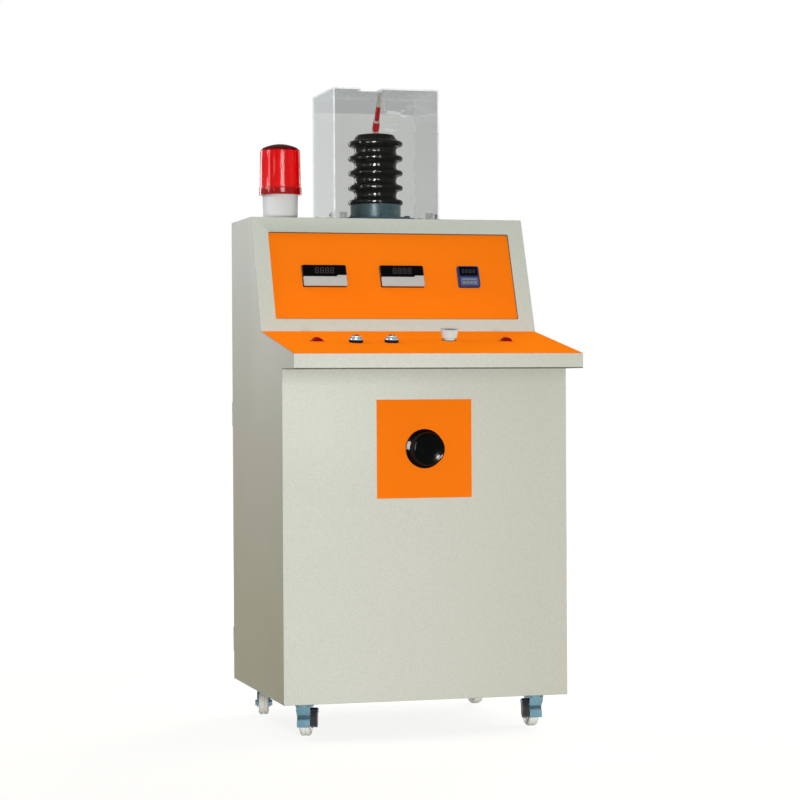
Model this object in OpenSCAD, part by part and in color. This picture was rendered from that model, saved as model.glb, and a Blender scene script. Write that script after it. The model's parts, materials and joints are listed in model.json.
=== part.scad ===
// High voltage test set: a sheet steel console on casters with a desk, instruments, a voltage
// regulator, a test transformer whose bushing stands on the roof under a clear cover, and a beacon.
// Millimetres. +X is the right of someone facing the desk, +Y runs to the back, +Z is up.
// The origin is on the floor, in the middle of the footprint.

/* [Cabinet] */
// Width over the side panels
cab_w = 600; // [520:10:720]
// Depth of the lower cabinet
cab_d = 490; // [440:10:588]
// Height from the cabinet floor to the underside of the desk lip
lower_h = 673; // [560:1:810]
// Thickness of the cabinet's steel sheet
sheet = 2; // [1.5:0.1:2.5]
// How far the desk lip stands out in front of the cabinet
lip_out = 105; // [60:5:130]
// Height of the desk lip's front face
lip_h = 30; // [24:1:40]
// Rise of the desk from its front edge to its back edge
desk_rise = 50; // [40:1:60]
// Distance from the cabinet's front to the back edge of the desk
desk_back = 194; // [170:1:220]
// Height of the sloping console above the desk's back edge
console_h = 245; // [225:1:290]
// How far the console leans back over that height
console_lean = 94; // [70:1:110]

/* [Instrument panel] */
// Margin of the sloping bezel at each side of the opening
bezel_side = 34; // [25:1:45]
// Margin of the bezel below the opening
bezel_bottom = 29; // [22:1:36]
// Margin of the bezel above the opening
bezel_top = 34; // [24:1:40]
// Depth from the bezel's face to the instrument panel
recess = 6; // [4:0.5:10]
// Height of the instruments' centre above the console's lower edge, along the slope
instrument_s = 128; // [110:1:145]
// Places of the two meters from the middle
meter_x = [-152, 18];
// Place of the timer from the middle
timer_x = 166; // [140:1:190]
// Width of a meter's front
meter_w = 96; // [80:1:115]
// Height of a meter's and the timer's front
meter_h = 48; // [40:1:58]
// How far the meters stand in front of the instrument panel
meter_proud = 8; // [5:0.5:12]
// Depth of the instrument cases behind the panel
meter_depth = 58; // [40:1:60]

/* [Desk controls] */
// Places of the two rocker switches from the middle
rocker_x = [-215, 188];
// Places of the two push buttons from the middle
button_x = [-137, -62];
// Place of the mushroom button from the middle
mushroom_x = 69; // [20:1:120]
// Distance of the push buttons from the desk's front edge
row_s = 146; // [110:1:190]
// Distance of the rocker switches from the desk's front edge
rocker_s = 158; // [110:1:190]
// Distance of the mushroom button from the desk's front edge
mushroom_s = 174; // [140:1:200]
// Diameter of a push button's bezel
button_d = 29.5; // [28:0.5:35]
// Diameter of a push button's cap
cap_d = 21; // [17:0.5:23]
// Travel of a push button
button_travel = 3; // [2:0.5:4]
// Diameter of the mushroom button's top
mushroom_d = 38; // [36:1:45]
// Travel of the mushroom button
mushroom_travel = 4; // [3:0.5:5]
// Length of a rocker switch's frame
rocker_w = 30; // [28:1:36]
// Width of a rocker switch's frame
rocker_l = 19; // [17:1:23]
// Angle of a rocker to each side of its middle
rocker_tilt = 12; // [8:1:14]

/* [Regulator] */
// Place of the regulator from the middle of the cabinet
reg_x = -5; // [-40:1:40]
// Height of the desk lip's underside above the regulator's shaft
reg_drop = 162; // [125:1:260]
// Side of the square regulator plate
plate_side = 200; // [160:1:240]
// Diameter of the knob's skirt
knob_d = 80; // [66:1:96]
// Diameter of the knob's face
knob_face_d = 66; // [56:1:70]
// Height of the knob in front of the plate
knob_h = 44; // [36:1:52]
// Diameter of the regulator's shaft
shaft_d = 10; // [8:0.5:12]
// Outer diameter of the toroidal core
core_d = 186; // [155:1:223]
// Diameter of the core's window
core_window_d = 100; // [83:1:120]
// Height of the core along the shaft
core_h = 56; // [40:1:68]
// Thickness of the winding on the core
winding_t = 8; // [5:0.5:9]

/* [Test transformer and cover] */
// Diameter of the bushing's sheds
shed_d = 120; // [105:1:144]
// Diameter of the bushing's body between its sheds
bushing_d = 91; // [80:1:98]
// Number of sheds
sheds = 5; // [3:1:6]
// Distance between sheds
shed_pitch = 32; // [27:1:38]
// Height of the lowest shed above the roof
first_shed = 41; // [38:1:50]
// Diameter of the steel neck that carries the bushing
neck_d = 110; // [100:1:118]
// Diameter of the roof flange
flange_d = 172; // [150:1:184]
// Width of the clear cover
cover_w = 235; // [210:1:282]
// Depth of the clear cover
cover_d = 190; // [188:1:196]
// Height of the clear cover
cover_h = 280; // [270:1:336]
// Thickness of the cover's sheets
cover_t = 3; // [2:0.5:5]

/* [Beacon] */
// Place of the beacon's axis: from the middle and from the cabinet's front
beacon_at = [-217, 372];
// Diameter of the beacon's base
beacon_base_d = 79; // [66:1:84]
// Height of the beacon's base
beacon_base_h = 53; // [40:1:64]
// Outer diameter of the beacon's lens
lens_d = 92; // [86:1:104]
// Height of the beacon's lens
lens_h = 110; // [92:1:132]

/* [Casters] */
// Height of a caster from the floor to the cabinet
caster_h = 72; // [70:1:86]
// Diameter of a caster wheel
wheel_d = 50; // [42:1:50]
// Width of a caster wheel
wheel_w = 22; // [18:1:26]
// Distance from the swivel axis to the wheel axle
trail = 18; // [15:1:22]
// Distance of the swivel axes from the cabinet's sides
caster_inset_x = 55; // [50:1:80]
// Distance of the swivel axes from the cabinet's front and back
caster_inset_y = 55; // [50:1:80]

/* [Hidden] */
$fn = 48;

// Clearances
fit = 0.05;          // radial play of a shaft in its bearing
gap = 0.3;           // air between moving pieces
slack = 1;           // air round a case in its cut-out
cut = 1;             // how far a cutting body reaches past the surface

// Colours
grey = [0.80, 0.79, 0.74];
orange = [0.97, 0.48, 0.07];
zinc = [0.62, 0.68, 0.70];
black = [0.08, 0.08, 0.09];
steel = [0.72, 0.73, 0.75];
blue_grey = [0.33, 0.42, 0.48];
white = [0.90, 0.90, 0.86];
copper = [0.72, 0.40, 0.20];
iron = [0.35, 0.36, 0.38];

// Rear fittings set how far the model reaches behind the cabinet
gland_reach = 24;
front_y = -(cab_d + gland_reach - lip_out) / 2;

// Heights
z_floor = caster_h;
z_lip = z_floor + lower_h;
z_desk = z_lip + lip_h;
z_console = z_desk + desk_rise;
z_roof = z_console + console_h;
roof_front = desk_back + console_lean;

// Side profile of the cabinet as [y, z], anticlockwise, and the same line inside the folded sheets
profile = [[0, z_floor], [cab_d, z_floor], [cab_d, z_roof], [roof_front, z_roof],
           [desk_back, z_console], [-lip_out, z_desk], [-lip_out, z_lip], [0, z_lip]];
edge_inset = [sheet, 0, sheet, sheet, sheet, sheet, sheet, sheet];
function unit(v) = v / norm(v);
function left_of(v) = [-v.y, v.x];
function meet(b, n1, d1, n2, d2) =
    b + [d1 * n2.y - d2 * n1.y, d2 * n1.x - d1 * n2.x] / (n1.x * n2.y - n1.y * n2.x);
function inset(p, d) = [for (i = [0 : len(p) - 1])
    let (n = len(p), before = (i + n - 1) % n, after = (i + 1) % n,
         n1 = left_of(unit(p[i] - p[before])), n2 = left_of(unit(p[after] - p[i])))
    meet(p[i], n1, d[before], n2, d[i])];
inner = inset(profile, edge_inset);

// Slopes of the console and the desk
slope_a = atan2(console_h, console_lean);
slope_l = norm([console_h, console_lean]);
desk_a = atan2(desk_rise, desk_back + lip_out);
desk_l = norm([desk_rise, desk_back + lip_out]);

module at_front() { translate([0, front_y, 0]) children(); }
module on_slope() { at_front() translate([0, desk_back, z_console]) rotate([slope_a, 0, 0]) children(); }
module on_desk() { at_front() translate([0, -lip_out, z_desk]) rotate([desk_a, 0, 0]) children(); }
// Stands a [y, z] outline up and gives it a width along X, centred
module across(w) { rotate([90, 0, 90]) translate([0, 0, -w / 2]) linear_extrude(w) children(); }
// A box given by its lowest and highest corners
module block(low, high) { translate(low) cube(high - low); }
// Rectangle with round corners, centred
module rounded(w, h, r) {
    square([w - 2 * r, h], center = true);
    square([w, h - 2 * r], center = true);
    for (x = [-1, 1], y = [-1, 1]) translate([x * (w / 2 - r), y * (h / 2 - r)]) circle(r, $fn = 24);
}
module ring(r_out, r_in, h) {
    difference() { cylinder(r = r_out, h = h); translate([0, 0, -cut]) cylinder(r = r_in, h = h + 2 * cut); }
}

// Folded sheets of the cabinet
inner_w = cab_w - 2 * sheet;
jamb_w = 25;
jamb_depth = 20;
jamb_y = cab_d - jamb_depth - sheet;

module side_panel(side) {
    color(grey) at_front() {
        translate([side * (cab_w - sheet) / 2, 0, 0]) across(sheet) polygon(inner);
        x = side * (cab_w / 2 - jamb_w / 2);
        block([x - jamb_w / 2, jamb_y, z_floor + sheet], [x + jamb_w / 2, jamb_y + sheet, z_roof - sheet]);
    }
}
// One sheet folded along the profile from corner a to corner b
module folded(a, b) {
    line = [for (i = [a : b]) profile[i % len(profile)]];
    back = [for (i = [b : -1 : a]) inner[i % len(profile)]];
    across(cab_w) polygon(concat(line, back));
}
reg_z = z_lip - reg_drop;
shaft_hole_r = shaft_d / 2 + 3;
module front_panel() {
    color(grey) at_front() difference() {
        folded(7, 8);
        translate([reg_x, -cut, reg_z]) rotate([-90, 0, 0])
            cylinder(r = shaft_hole_r, h = sheet + 2 * cut);
    }
}
tray_lip = 18;
module base_tray() {
    color(grey) at_front() {
        folded(0, 1);
        for (y = [sheet, jamb_y - sheet])
            block([-inner_w / 2, y, z_floor], [inner_w / 2, y + sheet, z_floor + tray_lip]);
    }
}
bushing_y = cab_d - cover_d / 2 - 6;
neck_hole_r = neck_d / 2 + 1;
beacon_hole_r = 12;
module top_panel() {
    color(grey) at_front() difference() {
        folded(2, 3);
        translate([0, bushing_y, z_roof - sheet - cut]) cylinder(r = neck_hole_r, h = sheet + 2 * cut);
        translate([beacon_at.x, beacon_at.y, z_roof - sheet - cut])
            cylinder(r = beacon_hole_r, h = sheet + 2 * cut);
    }
}

// Instrument panel behind the bezel's opening
window_w = cab_w - 2 * bezel_side;
window_h = slope_l - bezel_bottom - bezel_top;
window_s = bezel_bottom + window_h / 2;
window_r = 4;
panel_flange = 12;
lining = 1.5;
module console_bezel() {
    color(grey) {
        difference() {
            at_front() folded(3, 4);
            on_slope() translate([0, window_s, -recess]) linear_extrude(2 * recess)
                rounded(window_w, window_h, window_r);
        }
        on_slope() translate([0, window_s, -recess]) linear_extrude(recess - sheet) difference() {
            rounded(window_w + 2 * lining, window_h + 2 * lining, window_r + lining);
            rounded(window_w, window_h, window_r);
        }
    }
}
instruments = [[meter_x[0], meter_w], [meter_x[1], meter_w], [timer_x, meter_h]];
case_inset = 2;
clamp = [5, 14, 30];
socket_h = 8;
module instrument_panel() {
    color(orange) on_slope() translate([0, 0, -recess - sheet]) linear_extrude(sheet) difference() {
        translate([0, window_s])
            square([window_w + 2 * panel_flange, window_h + 2 * panel_flange], center = true);
        for (i = instruments) translate([i[0], instrument_s])
            square([i[1] - 2 * case_inset, meter_h - 2 * case_inset], center = true);
    }
}
// Places children on the face of the instrument panel
module at_instrument(x) { on_slope() translate([x, instrument_s, -recess]) children(); }
module instrument_case(w, r) {
    linear_extrude(meter_proud - 1) rounded(w, meter_h, r);
    body_w = w - 2 * (case_inset + slack / 2);
    body_h = meter_h - 2 * (case_inset + slack / 2);
    translate([0, 0, -meter_depth]) linear_extrude(meter_depth + 1) square([body_w, body_h], center = true);
    translate([0, 0, -meter_depth - socket_h]) linear_extrude(socket_h)
        square([body_w - 12, body_h - 14], center = true);
    // side clamps that hold the case against the back of the panel
    for (side = [-1, 1]) translate([side * (body_w + clamp.x) / 2, 0, -sheet - clamp.z / 2])
        cube(clamp, center = true);
}
module meter_cases() { color(black) for (x = meter_x) at_instrument(x) instrument_case(meter_w, 3); }
module timer_case() { color([0.10, 0.18, 0.42]) at_instrument(timer_x) instrument_case(meter_h, 4); }
window_share = 0.54;
window_y = meter_h * (1 - window_share) / 2;
cover_s = meter_h * window_share / 2;
module display_windows() {
    h = meter_h * window_share - 1;
    color([0.03, 0.03, 0.04]) {
        for (x = meter_x) at_instrument(x) translate([0, window_y, meter_proud - 1]) linear_extrude(1)
            rounded(meter_w - 3, h, 2);
        at_instrument(timer_x) translate([0, window_y + 1, meter_proud - 1]) linear_extrude(1)
            rounded(meter_h - 8, h - 5, 1.5);
    }
}
tab_w = 24;
module instrument_covers() {
    h = meter_h * (1 - window_share) - 1;
    color(white) {
        for (x = meter_x) at_instrument(x) translate([0, -cover_s, meter_proud - 1]) {
            linear_extrude(2) translate([0, -0.5]) rounded(meter_w - 2, h, 2);
            translate([meter_w / 2 - tab_w / 2 - 2, 0, 0]) linear_extrude(3) rounded(tab_w, h - 2, 2);
        }
        at_instrument(timer_x) translate([0, 1 - cover_s, meter_proud - 1]) linear_extrude(1.2)
            rounded(meter_h - 9, h - 3, 1.5);
    }
}

// Desk and its controls
plate_t = 1;
barrel_d = 22;
barrel_l = 26;
stem_d = 12;
mushroom_barrel_d = 30;
mushroom_stem_d = 23;
rocker_body_w = rocker_w - 3;
rocker_body_l = rocker_l - 4;
rocker_wall = 1.2;
rocker_r = rocker_body_w / 2 - rocker_wall - gap;
module at_control(x, s) { on_desk() translate([x, s, 0]) children(); }
module desk_holes() {
    for (x = button_x) translate([x, row_s]) circle(barrel_d / 2 + gap);
    translate([mushroom_x, mushroom_s]) circle(mushroom_barrel_d / 2 + gap);
    for (x = rocker_x) translate([x, rocker_s])
        square([rocker_body_w + slack, rocker_body_l + slack], center = true);
}
module desk_sheet() {
    color(grey) difference() {
        at_front() folded(4, 7);
        on_desk() translate([0, 0, -2 * sheet]) linear_extrude(3 * sheet) desk_holes();
    }
}
module desk_plate() {
    edge = 1;
    color(orange) on_desk() linear_extrude(plate_t) difference() {
        translate([-cab_w / 2 + edge, 0]) square([cab_w - 2 * edge, desk_l - gap]);
        desk_holes();
    }
}
bezel_h = 9;
module button_bezel() {
    bore = cap_d / 2 + gap;
    stem_bore = stem_d / 2 + gap;
    shoulder = [for (a = [0 : 15 : 90])
        [bore + 1 + (button_d / 2 - bore - 1) * cos(a), plate_t + 4 + (bezel_h - 4) * sin(a)]];
    rotate_extrude() polygon(concat(
        [[stem_bore, -barrel_l], [barrel_d / 2, -barrel_l], [barrel_d / 2, plate_t], [button_d / 2, plate_t]],
        shoulder,
        [[bore, plate_t + bezel_h], [bore, plate_t + 1.5], [stem_bore, plate_t + 1.5]]));
}
module button_bezels() { color(steel) for (x = button_x) at_control(x, row_s) button_bezel(); }
// Dome-topped cap on a stem, with room below for its travel
module button_cap(x) {
    under = plate_t + 1.5 + button_travel + gap;
    dome_from = plate_t + bezel_h + 2.5;
    dome = [for (a = [0 : 15 : 90]) [cap_d / 2 * cos(a), dome_from + 4 * sin(a)]];
    color(steel) at_control(x, row_s) rotate_extrude() polygon(concat(
        [[0, -barrel_l + button_travel + gap], [stem_d / 2, -barrel_l + button_travel + gap],
         [stem_d / 2, under], [cap_d / 2, under]], dome));
}
nut_t = 4;
block_size = [28, 40, 36];
module contact_block(d = barrel_d) {
    translate([0, 0, -barrel_l - block_size.z]) linear_extrude(block_size.z)
        rounded(block_size.x, block_size.y, 3);
    for (x = [-1, 1], y = [-1, 1]) translate([x * block_size.x / 4, y * (block_size.y / 2 - 6), -barrel_l])
        cylinder(r = 3.5, h = 2.5);
    translate([0, 0, -sheet - nut_t]) ring(d / 2 + 4, d / 2 + fit, nut_t);
}
collar_h = 1;
module contact_blocks() {
    color(black) {
        for (x = button_x) at_control(x, row_s) contact_block();
        at_control(mushroom_x, mushroom_s) {
            contact_block(mushroom_barrel_d);
            translate([0, 0, -barrel_l])
                ring(mushroom_barrel_d / 2, mushroom_stem_d / 2 + gap, barrel_l + plate_t + collar_h);
        }
    }
}
mushroom_h = 18;
mushroom_taper = 3.5;
mushroom_rim = 4;
module mushroom_cap() {
    under = plate_t + collar_h + mushroom_travel + gap;
    top = under + mushroom_h;
    r = mushroom_d / 2;
    color([0.86, 0.88, 0.87]) at_control(mushroom_x, mushroom_s) rotate_extrude() polygon([
        [0, -barrel_l + mushroom_travel + gap], [mushroom_stem_d / 2, -barrel_l + mushroom_travel + gap],
        [mushroom_stem_d / 2, under], [r - mushroom_taper - 1, under], [r - mushroom_taper, under + 1],
        [r - 0.6, top - 2], [r, top - 1.2], [r - 0.8, top], [r - mushroom_rim, top],
        [r - mushroom_rim - 2, top - 1], [0, top - 1]]);
}
pivot_z = plate_t - 3;
pivot_r = 1.5;
switch_depth = 26;
frame_lip = 1.2;
blade = [1, 6, 8];
module switch_frame() {
    difference() {
        union() {
            translate([0, 0, plate_t]) linear_extrude(frame_lip) rounded(rocker_w, rocker_l, 2);
            translate([0, 0, -switch_depth]) linear_extrude(switch_depth + plate_t + frame_lip / 2)
                square([rocker_body_w, rocker_body_l], center = true);
        }
        pocket = rocker_r + gap;
        translate([0, 0, pivot_z - pocket]) linear_extrude(2 * pocket)
            square([rocker_body_w - 2 * rocker_wall, rocker_body_l - 2 * rocker_wall], center = true);
        translate([0, 0, pivot_z]) rotate([90, 0, 0])
            cylinder(r = pivot_r + fit, h = rocker_body_l + 2 * cut, center = true);
    }
    for (x = [-1, 1]) translate([x * blade.y, 0, -switch_depth - blade.z]) linear_extrude(blade.z)
        square([blade.x, blade.y], center = true);
}
module switch_frames() { color(black) for (x = rocker_x) at_control(x, rocker_s) switch_frame(); }
// Rocker with two flats that meet in a ridge; its round ends turn about the pivot
module rocker(x, tilt) {
    ridge = rocker_r;
    flat_a = rocker_tilt + 3;
    w = rocker_body_l - 2 * rocker_wall - 2 * gap;
    drop = ridge - rocker_w * tan(flat_a);
    color([0.72, 0.05, 0.05]) at_control(x, rocker_s) translate([0, 0, pivot_z]) rotate([0, tilt, 0]) {
        rotate([90, 0, 0]) linear_extrude(w, center = true) intersection() {
            circle(rocker_r);
            polygon([[-rocker_w, -5], [rocker_w, -5], [rocker_w, drop], [0, ridge], [-rocker_w, drop]]);
        }
        rotate([90, 0, 0]) cylinder(r = pivot_r, h = rocker_body_l, center = true, $fn = 24);
    }
}

// Rear: upper panel, hinged door and their fittings
rear_split = z_lip - 10;
door_gap = 1.5;
door_x = inner_w / 2 - door_gap;
door_low = z_floor + 6;
door_high = rear_split - 4;
return_d = jamb_depth - 3;
// Shallow tray of sheet with its edges turned in, lying flush with the cabinet's back
module tray_sheet(x, low, high, depth) {
    difference() {
        block([-x, cab_d - depth, low], [x, cab_d, high]);
        block([-x + sheet, cab_d - depth - cut, low + sheet], [x - sheet, cab_d - sheet, high - sheet]);
    }
}
gland_at = [205, z_console - 40];
gland_r = 8;
gland_bore_r = 5;
earth_at = [150, z_console - 40];
stud_r = 4;
module rear_panel() {
    color(grey) at_front() difference() {
        tray_sheet(inner_w / 2, rear_split, z_roof - sheet, jamb_depth);
        translate([gland_at.x, cab_d - sheet - cut, gland_at.y]) rotate([-90, 0, 0])
            cylinder(r = gland_r + fit, h = sheet + 2 * cut);
        translate([earth_at.x, cab_d - sheet - cut, earth_at.y]) rotate([-90, 0, 0])
            cylinder(r = stud_r + fit, h = sheet + 2 * cut);
    }
}
hinge_x = -cab_w / 2 + 5;
hinge_y = cab_d + 5.5;
barrel_r = 5;
hinge_pin_r = 2.5;
hinge_l = 26;
hinge_z = [door_low + 80, door_high - 80];
louvre_w = 150;
louvre_rows = 7;
louvre_pitch = 22;
louvre_z = door_high - 60;
module louvre_slots() {
    for (side = [-1, 1], i = [0 : louvre_rows - 1])
        translate([side * 120, cab_d - sheet - cut, louvre_z - i * louvre_pitch])
            translate([-louvre_w / 2, 0, -3]) cube([louvre_w, sheet + 2 * cut, 6]);
}
module louvre_hoods() {
    for (side = [-1, 1], i = [0 : louvre_rows - 1])
        translate([side * 120, 0, louvre_z - i * louvre_pitch]) across(louvre_w + 4)
            polygon([[cab_d - sheet, 9], [cab_d, 9], [cab_d + 6, -1], [cab_d + 6, -3],
                     [cab_d + 4.6, -3], [cab_d - sheet, 6.5]]);
}
lock_at = [inner_w / 2 - 36, (door_low + door_high) / 2];
lock_r = 9;
module rear_door() {
    color(grey) at_front() {
        difference() {
            union() {
                tray_sheet(door_x, door_low, door_high, return_d);
                louvre_hoods();
            }
            louvre_slots();
            translate([lock_at.x, cab_d - sheet - cut, lock_at.y]) rotate([-90, 0, 0])
                cylinder(r = lock_r + fit, h = sheet + 2 * cut);
        }
        for (z = hinge_z) difference() {
            union() {
                translate([hinge_x, hinge_y, z + gap]) cylinder(r = barrel_r, h = hinge_l);
                block([hinge_x - 1.5, cab_d - sheet / 2, z + gap], [hinge_x + 4, hinge_y, z + gap + hinge_l]);
            }
            translate([hinge_x, hinge_y, z]) cylinder(r = hinge_pin_r + fit, h = hinge_l + cut);
        }
    }
}
module door_hinges() {
    color(zinc) at_front() for (z = hinge_z) {
        translate([hinge_x, hinge_y, z - hinge_l]) cylinder(r = barrel_r, h = hinge_l);
        translate([hinge_x, hinge_y, z - cut]) cylinder(r = hinge_pin_r, h = hinge_l);
        block([-cab_w / 2, cab_d, z - hinge_l], [-cab_w / 2 + sheet + door_gap - 0.8, hinge_y, z]);
    }
}
module door_lock() {
    cam_y = jamb_y - 4;
    cam_l = inner_w / 2 - lock_at.x - 3;
    color(steel) at_front() translate([lock_at.x, 0, lock_at.y]) {
        translate([0, cam_y, 0]) rotate([-90, 0, 0]) cylinder(r = lock_r, h = cab_d + gap - cam_y);
        difference() {
            translate([0, cab_d + gap, 0]) rotate([-90, 0, 0]) cylinder(r = lock_r + 3, h = 3);
            translate([-1, cab_d + 2, -6]) cube([2, 4, 12]);
        }
        block([-6, cam_y - 2.5, -8], [6, cam_y, cam_l]);
    }
}
module cable_gland() {
    color(black) at_front() translate([gland_at.x, cab_d, gland_at.y]) rotate([-90, 0, 0]) difference() {
        union() {
            translate([0, 0, -12]) cylinder(r = gland_r, h = 12);
            cylinder(r = 13, h = 6, $fn = 6);
            translate([0, 0, 6]) cylinder(r = 10, h = 3);
            translate([0, 0, 9]) cylinder(r = 12, h = 9, $fn = 6);
            translate([0, 0, 18]) rotate_extrude() polygon([[0, 0], [10.4, 0], [9.6, 3], [7.5, 6], [0, 6]]);
            translate([0, 0, -sheet - 5]) cylinder(r = 12, h = 5, $fn = 6);
        }
        translate([0, 0, -20]) cylinder(r = gland_bore_r, h = 60);
    }
}
module earth_stud() {
    color([0.80, 0.66, 0.32]) at_front() translate([earth_at.x, cab_d, earth_at.y]) rotate([-90, 0, 0]) {
        translate([0, 0, -sheet - 8]) cylinder(r = stud_r, h = sheet + 8 + 20);
        cylinder(r = 8, h = 1.6);
        translate([0, 0, 1.6]) cylinder(r = 7.5, h = 6.5, $fn = 6);
        translate([0, 0, -sheet - 6.5]) cylinder(r = 7.5, h = 6.5, $fn = 6);
    }
}

// Chassis: the transformer's shelf and the plate with a rail for the control gear
shelf_z = z_lip + 4;
shelf_front = 110;
gear_y = cab_d - 190;
gear_plate_h = 330;
rail_z = [z_floor + sheet + 110, z_floor + sheet + 250];
rail_l = 320;
rail_depth = 7.5;
module chassis() {
    color(zinc) at_front() {
        block([-inner_w / 2, shelf_front, shelf_z], [inner_w / 2, jamb_y, shelf_z + sheet]);
        for (side = [-1, 1]) {
            x = side * (inner_w - sheet) / 2;
            block([x - sheet / 2, shelf_front, shelf_z - 20], [x + sheet / 2, jamb_y, shelf_z + sheet]);
        }
        block([-180, gear_y, z_floor + sheet], [180, gear_y + sheet, z_floor + gear_plate_h]);
        block([-180, gear_y, z_floor + sheet], [180, gear_y + 30, z_floor + 2 * sheet]);
        for (z = rail_z) translate([0, gear_y + sheet, z]) across(rail_l) polygon([
            [0, -12.5], [6.5, -12.5], [6.5, -17.5], [7.5, -17.5], [7.5, -11.5], [1, -11.5],
            [1, 11.5], [7.5, 11.5], [7.5, 17.5], [6.5, 17.5], [6.5, 12.5], [0, 12.5]]);
    }
}
module rail_case(x, z, w, h, d, step) {
    y = gear_y + sheet + rail_depth;
    translate([x, 0, z]) across(w) polygon([
        [y, -h / 2], [y + d - step, -h / 2], [y + d - step, -h / 4], [y + d, -h / 4],
        [y + d, h / 4], [y + d - step, h / 4], [y + d - step, h / 2], [y, h / 2]]);
}
terminals = 12;
module control_gear() {
    color([0.24, 0.25, 0.27]) at_front() {
        rail_case(-110, rail_z[1], 45, 82, 84, 14);
        rail_case(-45, rail_z[1], 45, 82, 84, 14);
        for (i = [0 : 2]) rail_case(20 + i * 24, rail_z[1], 22, 76, 58, 10);
        for (i = [0 : terminals - 1]) rail_case(-132 + i * 8.5, rail_z[0], 8.2, 48, 40, 8);
        rail_case(60, rail_z[0], 90, 92, 54, 6);
    }
}

// Regulator: plate, knob and a toroidal autotransformer on one shaft.
// Inside at_reg(), +Z points to the operator and 0 is the front sheet's face.
module at_reg() { at_front() translate([reg_x, 0, reg_z]) rotate([90, 0, 0]) children(); }
reg_plate_t = 1.5;
shaft_r = shaft_d / 2;
frame_z = -30;
frame_t = 3;
winding_gap_a = 36;
wound_r = core_d / 2 + winding_t;
wound_window_r = core_window_d / 2 - winding_t;
track_r = (core_d + core_window_d) / 4;
core_front = frame_z - frame_t - winding_t;
wound_back = core_front - core_h - winding_t;
module regulator_plate() {
    color(orange) at_reg() linear_extrude(reg_plate_t) difference() {
        square(plate_side, center = true);
        circle(shaft_hole_r);
    }
}
knob_air = 1;
knob_back = reg_plate_t + knob_air;
knob_edge = 8;
knob_crown = 4;
shaft_end = knob_back + knob_h / 2;
module knob() {
    skirt_r = knob_d / 2;
    face_r = knob_face_d / 2;
    top = knob_back + knob_h;
    edge = [for (a = [0 : 10 : 90])
        [face_r - knob_edge + knob_edge * cos(a), top - knob_crown - knob_edge + knob_edge * sin(a)]];
    dome = [for (t = [0.8, 0.6, 0.4, 0.2, 0]) [(face_r - knob_edge) * t, top - knob_crown * t * t]];
    color(black) at_reg() difference() {
        rotate_extrude($fn = 96) polygon(concat(
            [[0, knob_back], [skirt_r - 1, knob_back], [skirt_r, knob_back + 1.5],
             [skirt_r - 0.6, knob_back + 4], [skirt_r - 3, knob_back + 6.5], [face_r + 1, knob_back + 10]],
            edge, dome));
        translate([0, 0, knob_back - cut]) cylinder(r = shaft_r + fit, h = shaft_end - knob_back + cut);
    }
}
brush_l = 8;
brush_w = 10;
arm_w = 14;
arm_t = 4;
hub_r = 16;
hub_h = 12;
rotor_rest = 240;
arm_z = wound_back - gap - brush_l;
module regulator_rotor() {
    hub_z = arm_z - 2 * arm_t;
    color(steel) at_reg() {
        translate([0, 0, hub_z]) cylinder(r = shaft_r, h = shaft_end - hub_z);
        translate([0, 0, hub_z]) cylinder(r = hub_r, h = hub_h);
        rotate(rotor_rest) {
            translate([0, -arm_w / 2, arm_z - arm_t]) cube([track_r + arm_w / 2, arm_w, arm_t]);
            translate([track_r, 0, arm_z - arm_t]) cylinder(r = arm_w / 2 + 2, h = 6);
            translate([track_r - 3, -brush_w / 2, arm_z]) cube([6, brush_w, brush_l]);
        }
    }
}
sleeve_r = 11;
frame_boss = [14, 10];
standoff_r = 6;
standoff_at = core_d / 2 - 18;
vent_r = 12;
module regulator_frame() {
    color(zinc) at_reg() {
        difference() {
            union() {
                translate([0, 0, frame_z - frame_t]) cylinder(r = core_d / 2 - standoff_r, h = frame_t);
                translate([0, 0, frame_z - frame_t]) cylinder(r = frame_boss.x, h = frame_t + frame_boss.y);
                translate([0, 0, wound_back]) cylinder(r = sleeve_r, h = frame_z - wound_back);
            }
            translate([0, 0, wound_back - cut]) cylinder(r = shaft_r + fit, h = frame_boss.y - wound_back);
            for (a = [30 : 60 : 330]) rotate(a)
                translate([core_d / 4 + 4, 0, frame_z - frame_t - cut])
                    cylinder(r = vent_r, h = frame_t + 2 * cut);
        }
        for (a = [90, 210, 330]) rotate(a) translate([standoff_at, 0, frame_z])
            cylinder(r = standoff_r, h = -frame_z - sheet);
    }
}
module regulator_core() {
    color(iron) at_reg() translate([0, 0, core_front - core_h])
        ring(core_d / 2, core_window_d / 2, core_h);
}
// The winding leaves a bare sector where its two ends are led out
module regulator_winding() {
    color(copper) at_reg() rotate(winding_gap_a / 2 - 90) rotate_extrude(angle = 360 - winding_gap_a)
        difference() {
            translate([wound_window_r, wound_back])
                square([wound_r - wound_window_r, core_h + 2 * winding_t]);
            translate([core_window_d / 2 - fit, core_front - core_h])
                square([(core_d - core_window_d) / 2 + 2 * fit, core_h]);
        }
}

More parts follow.
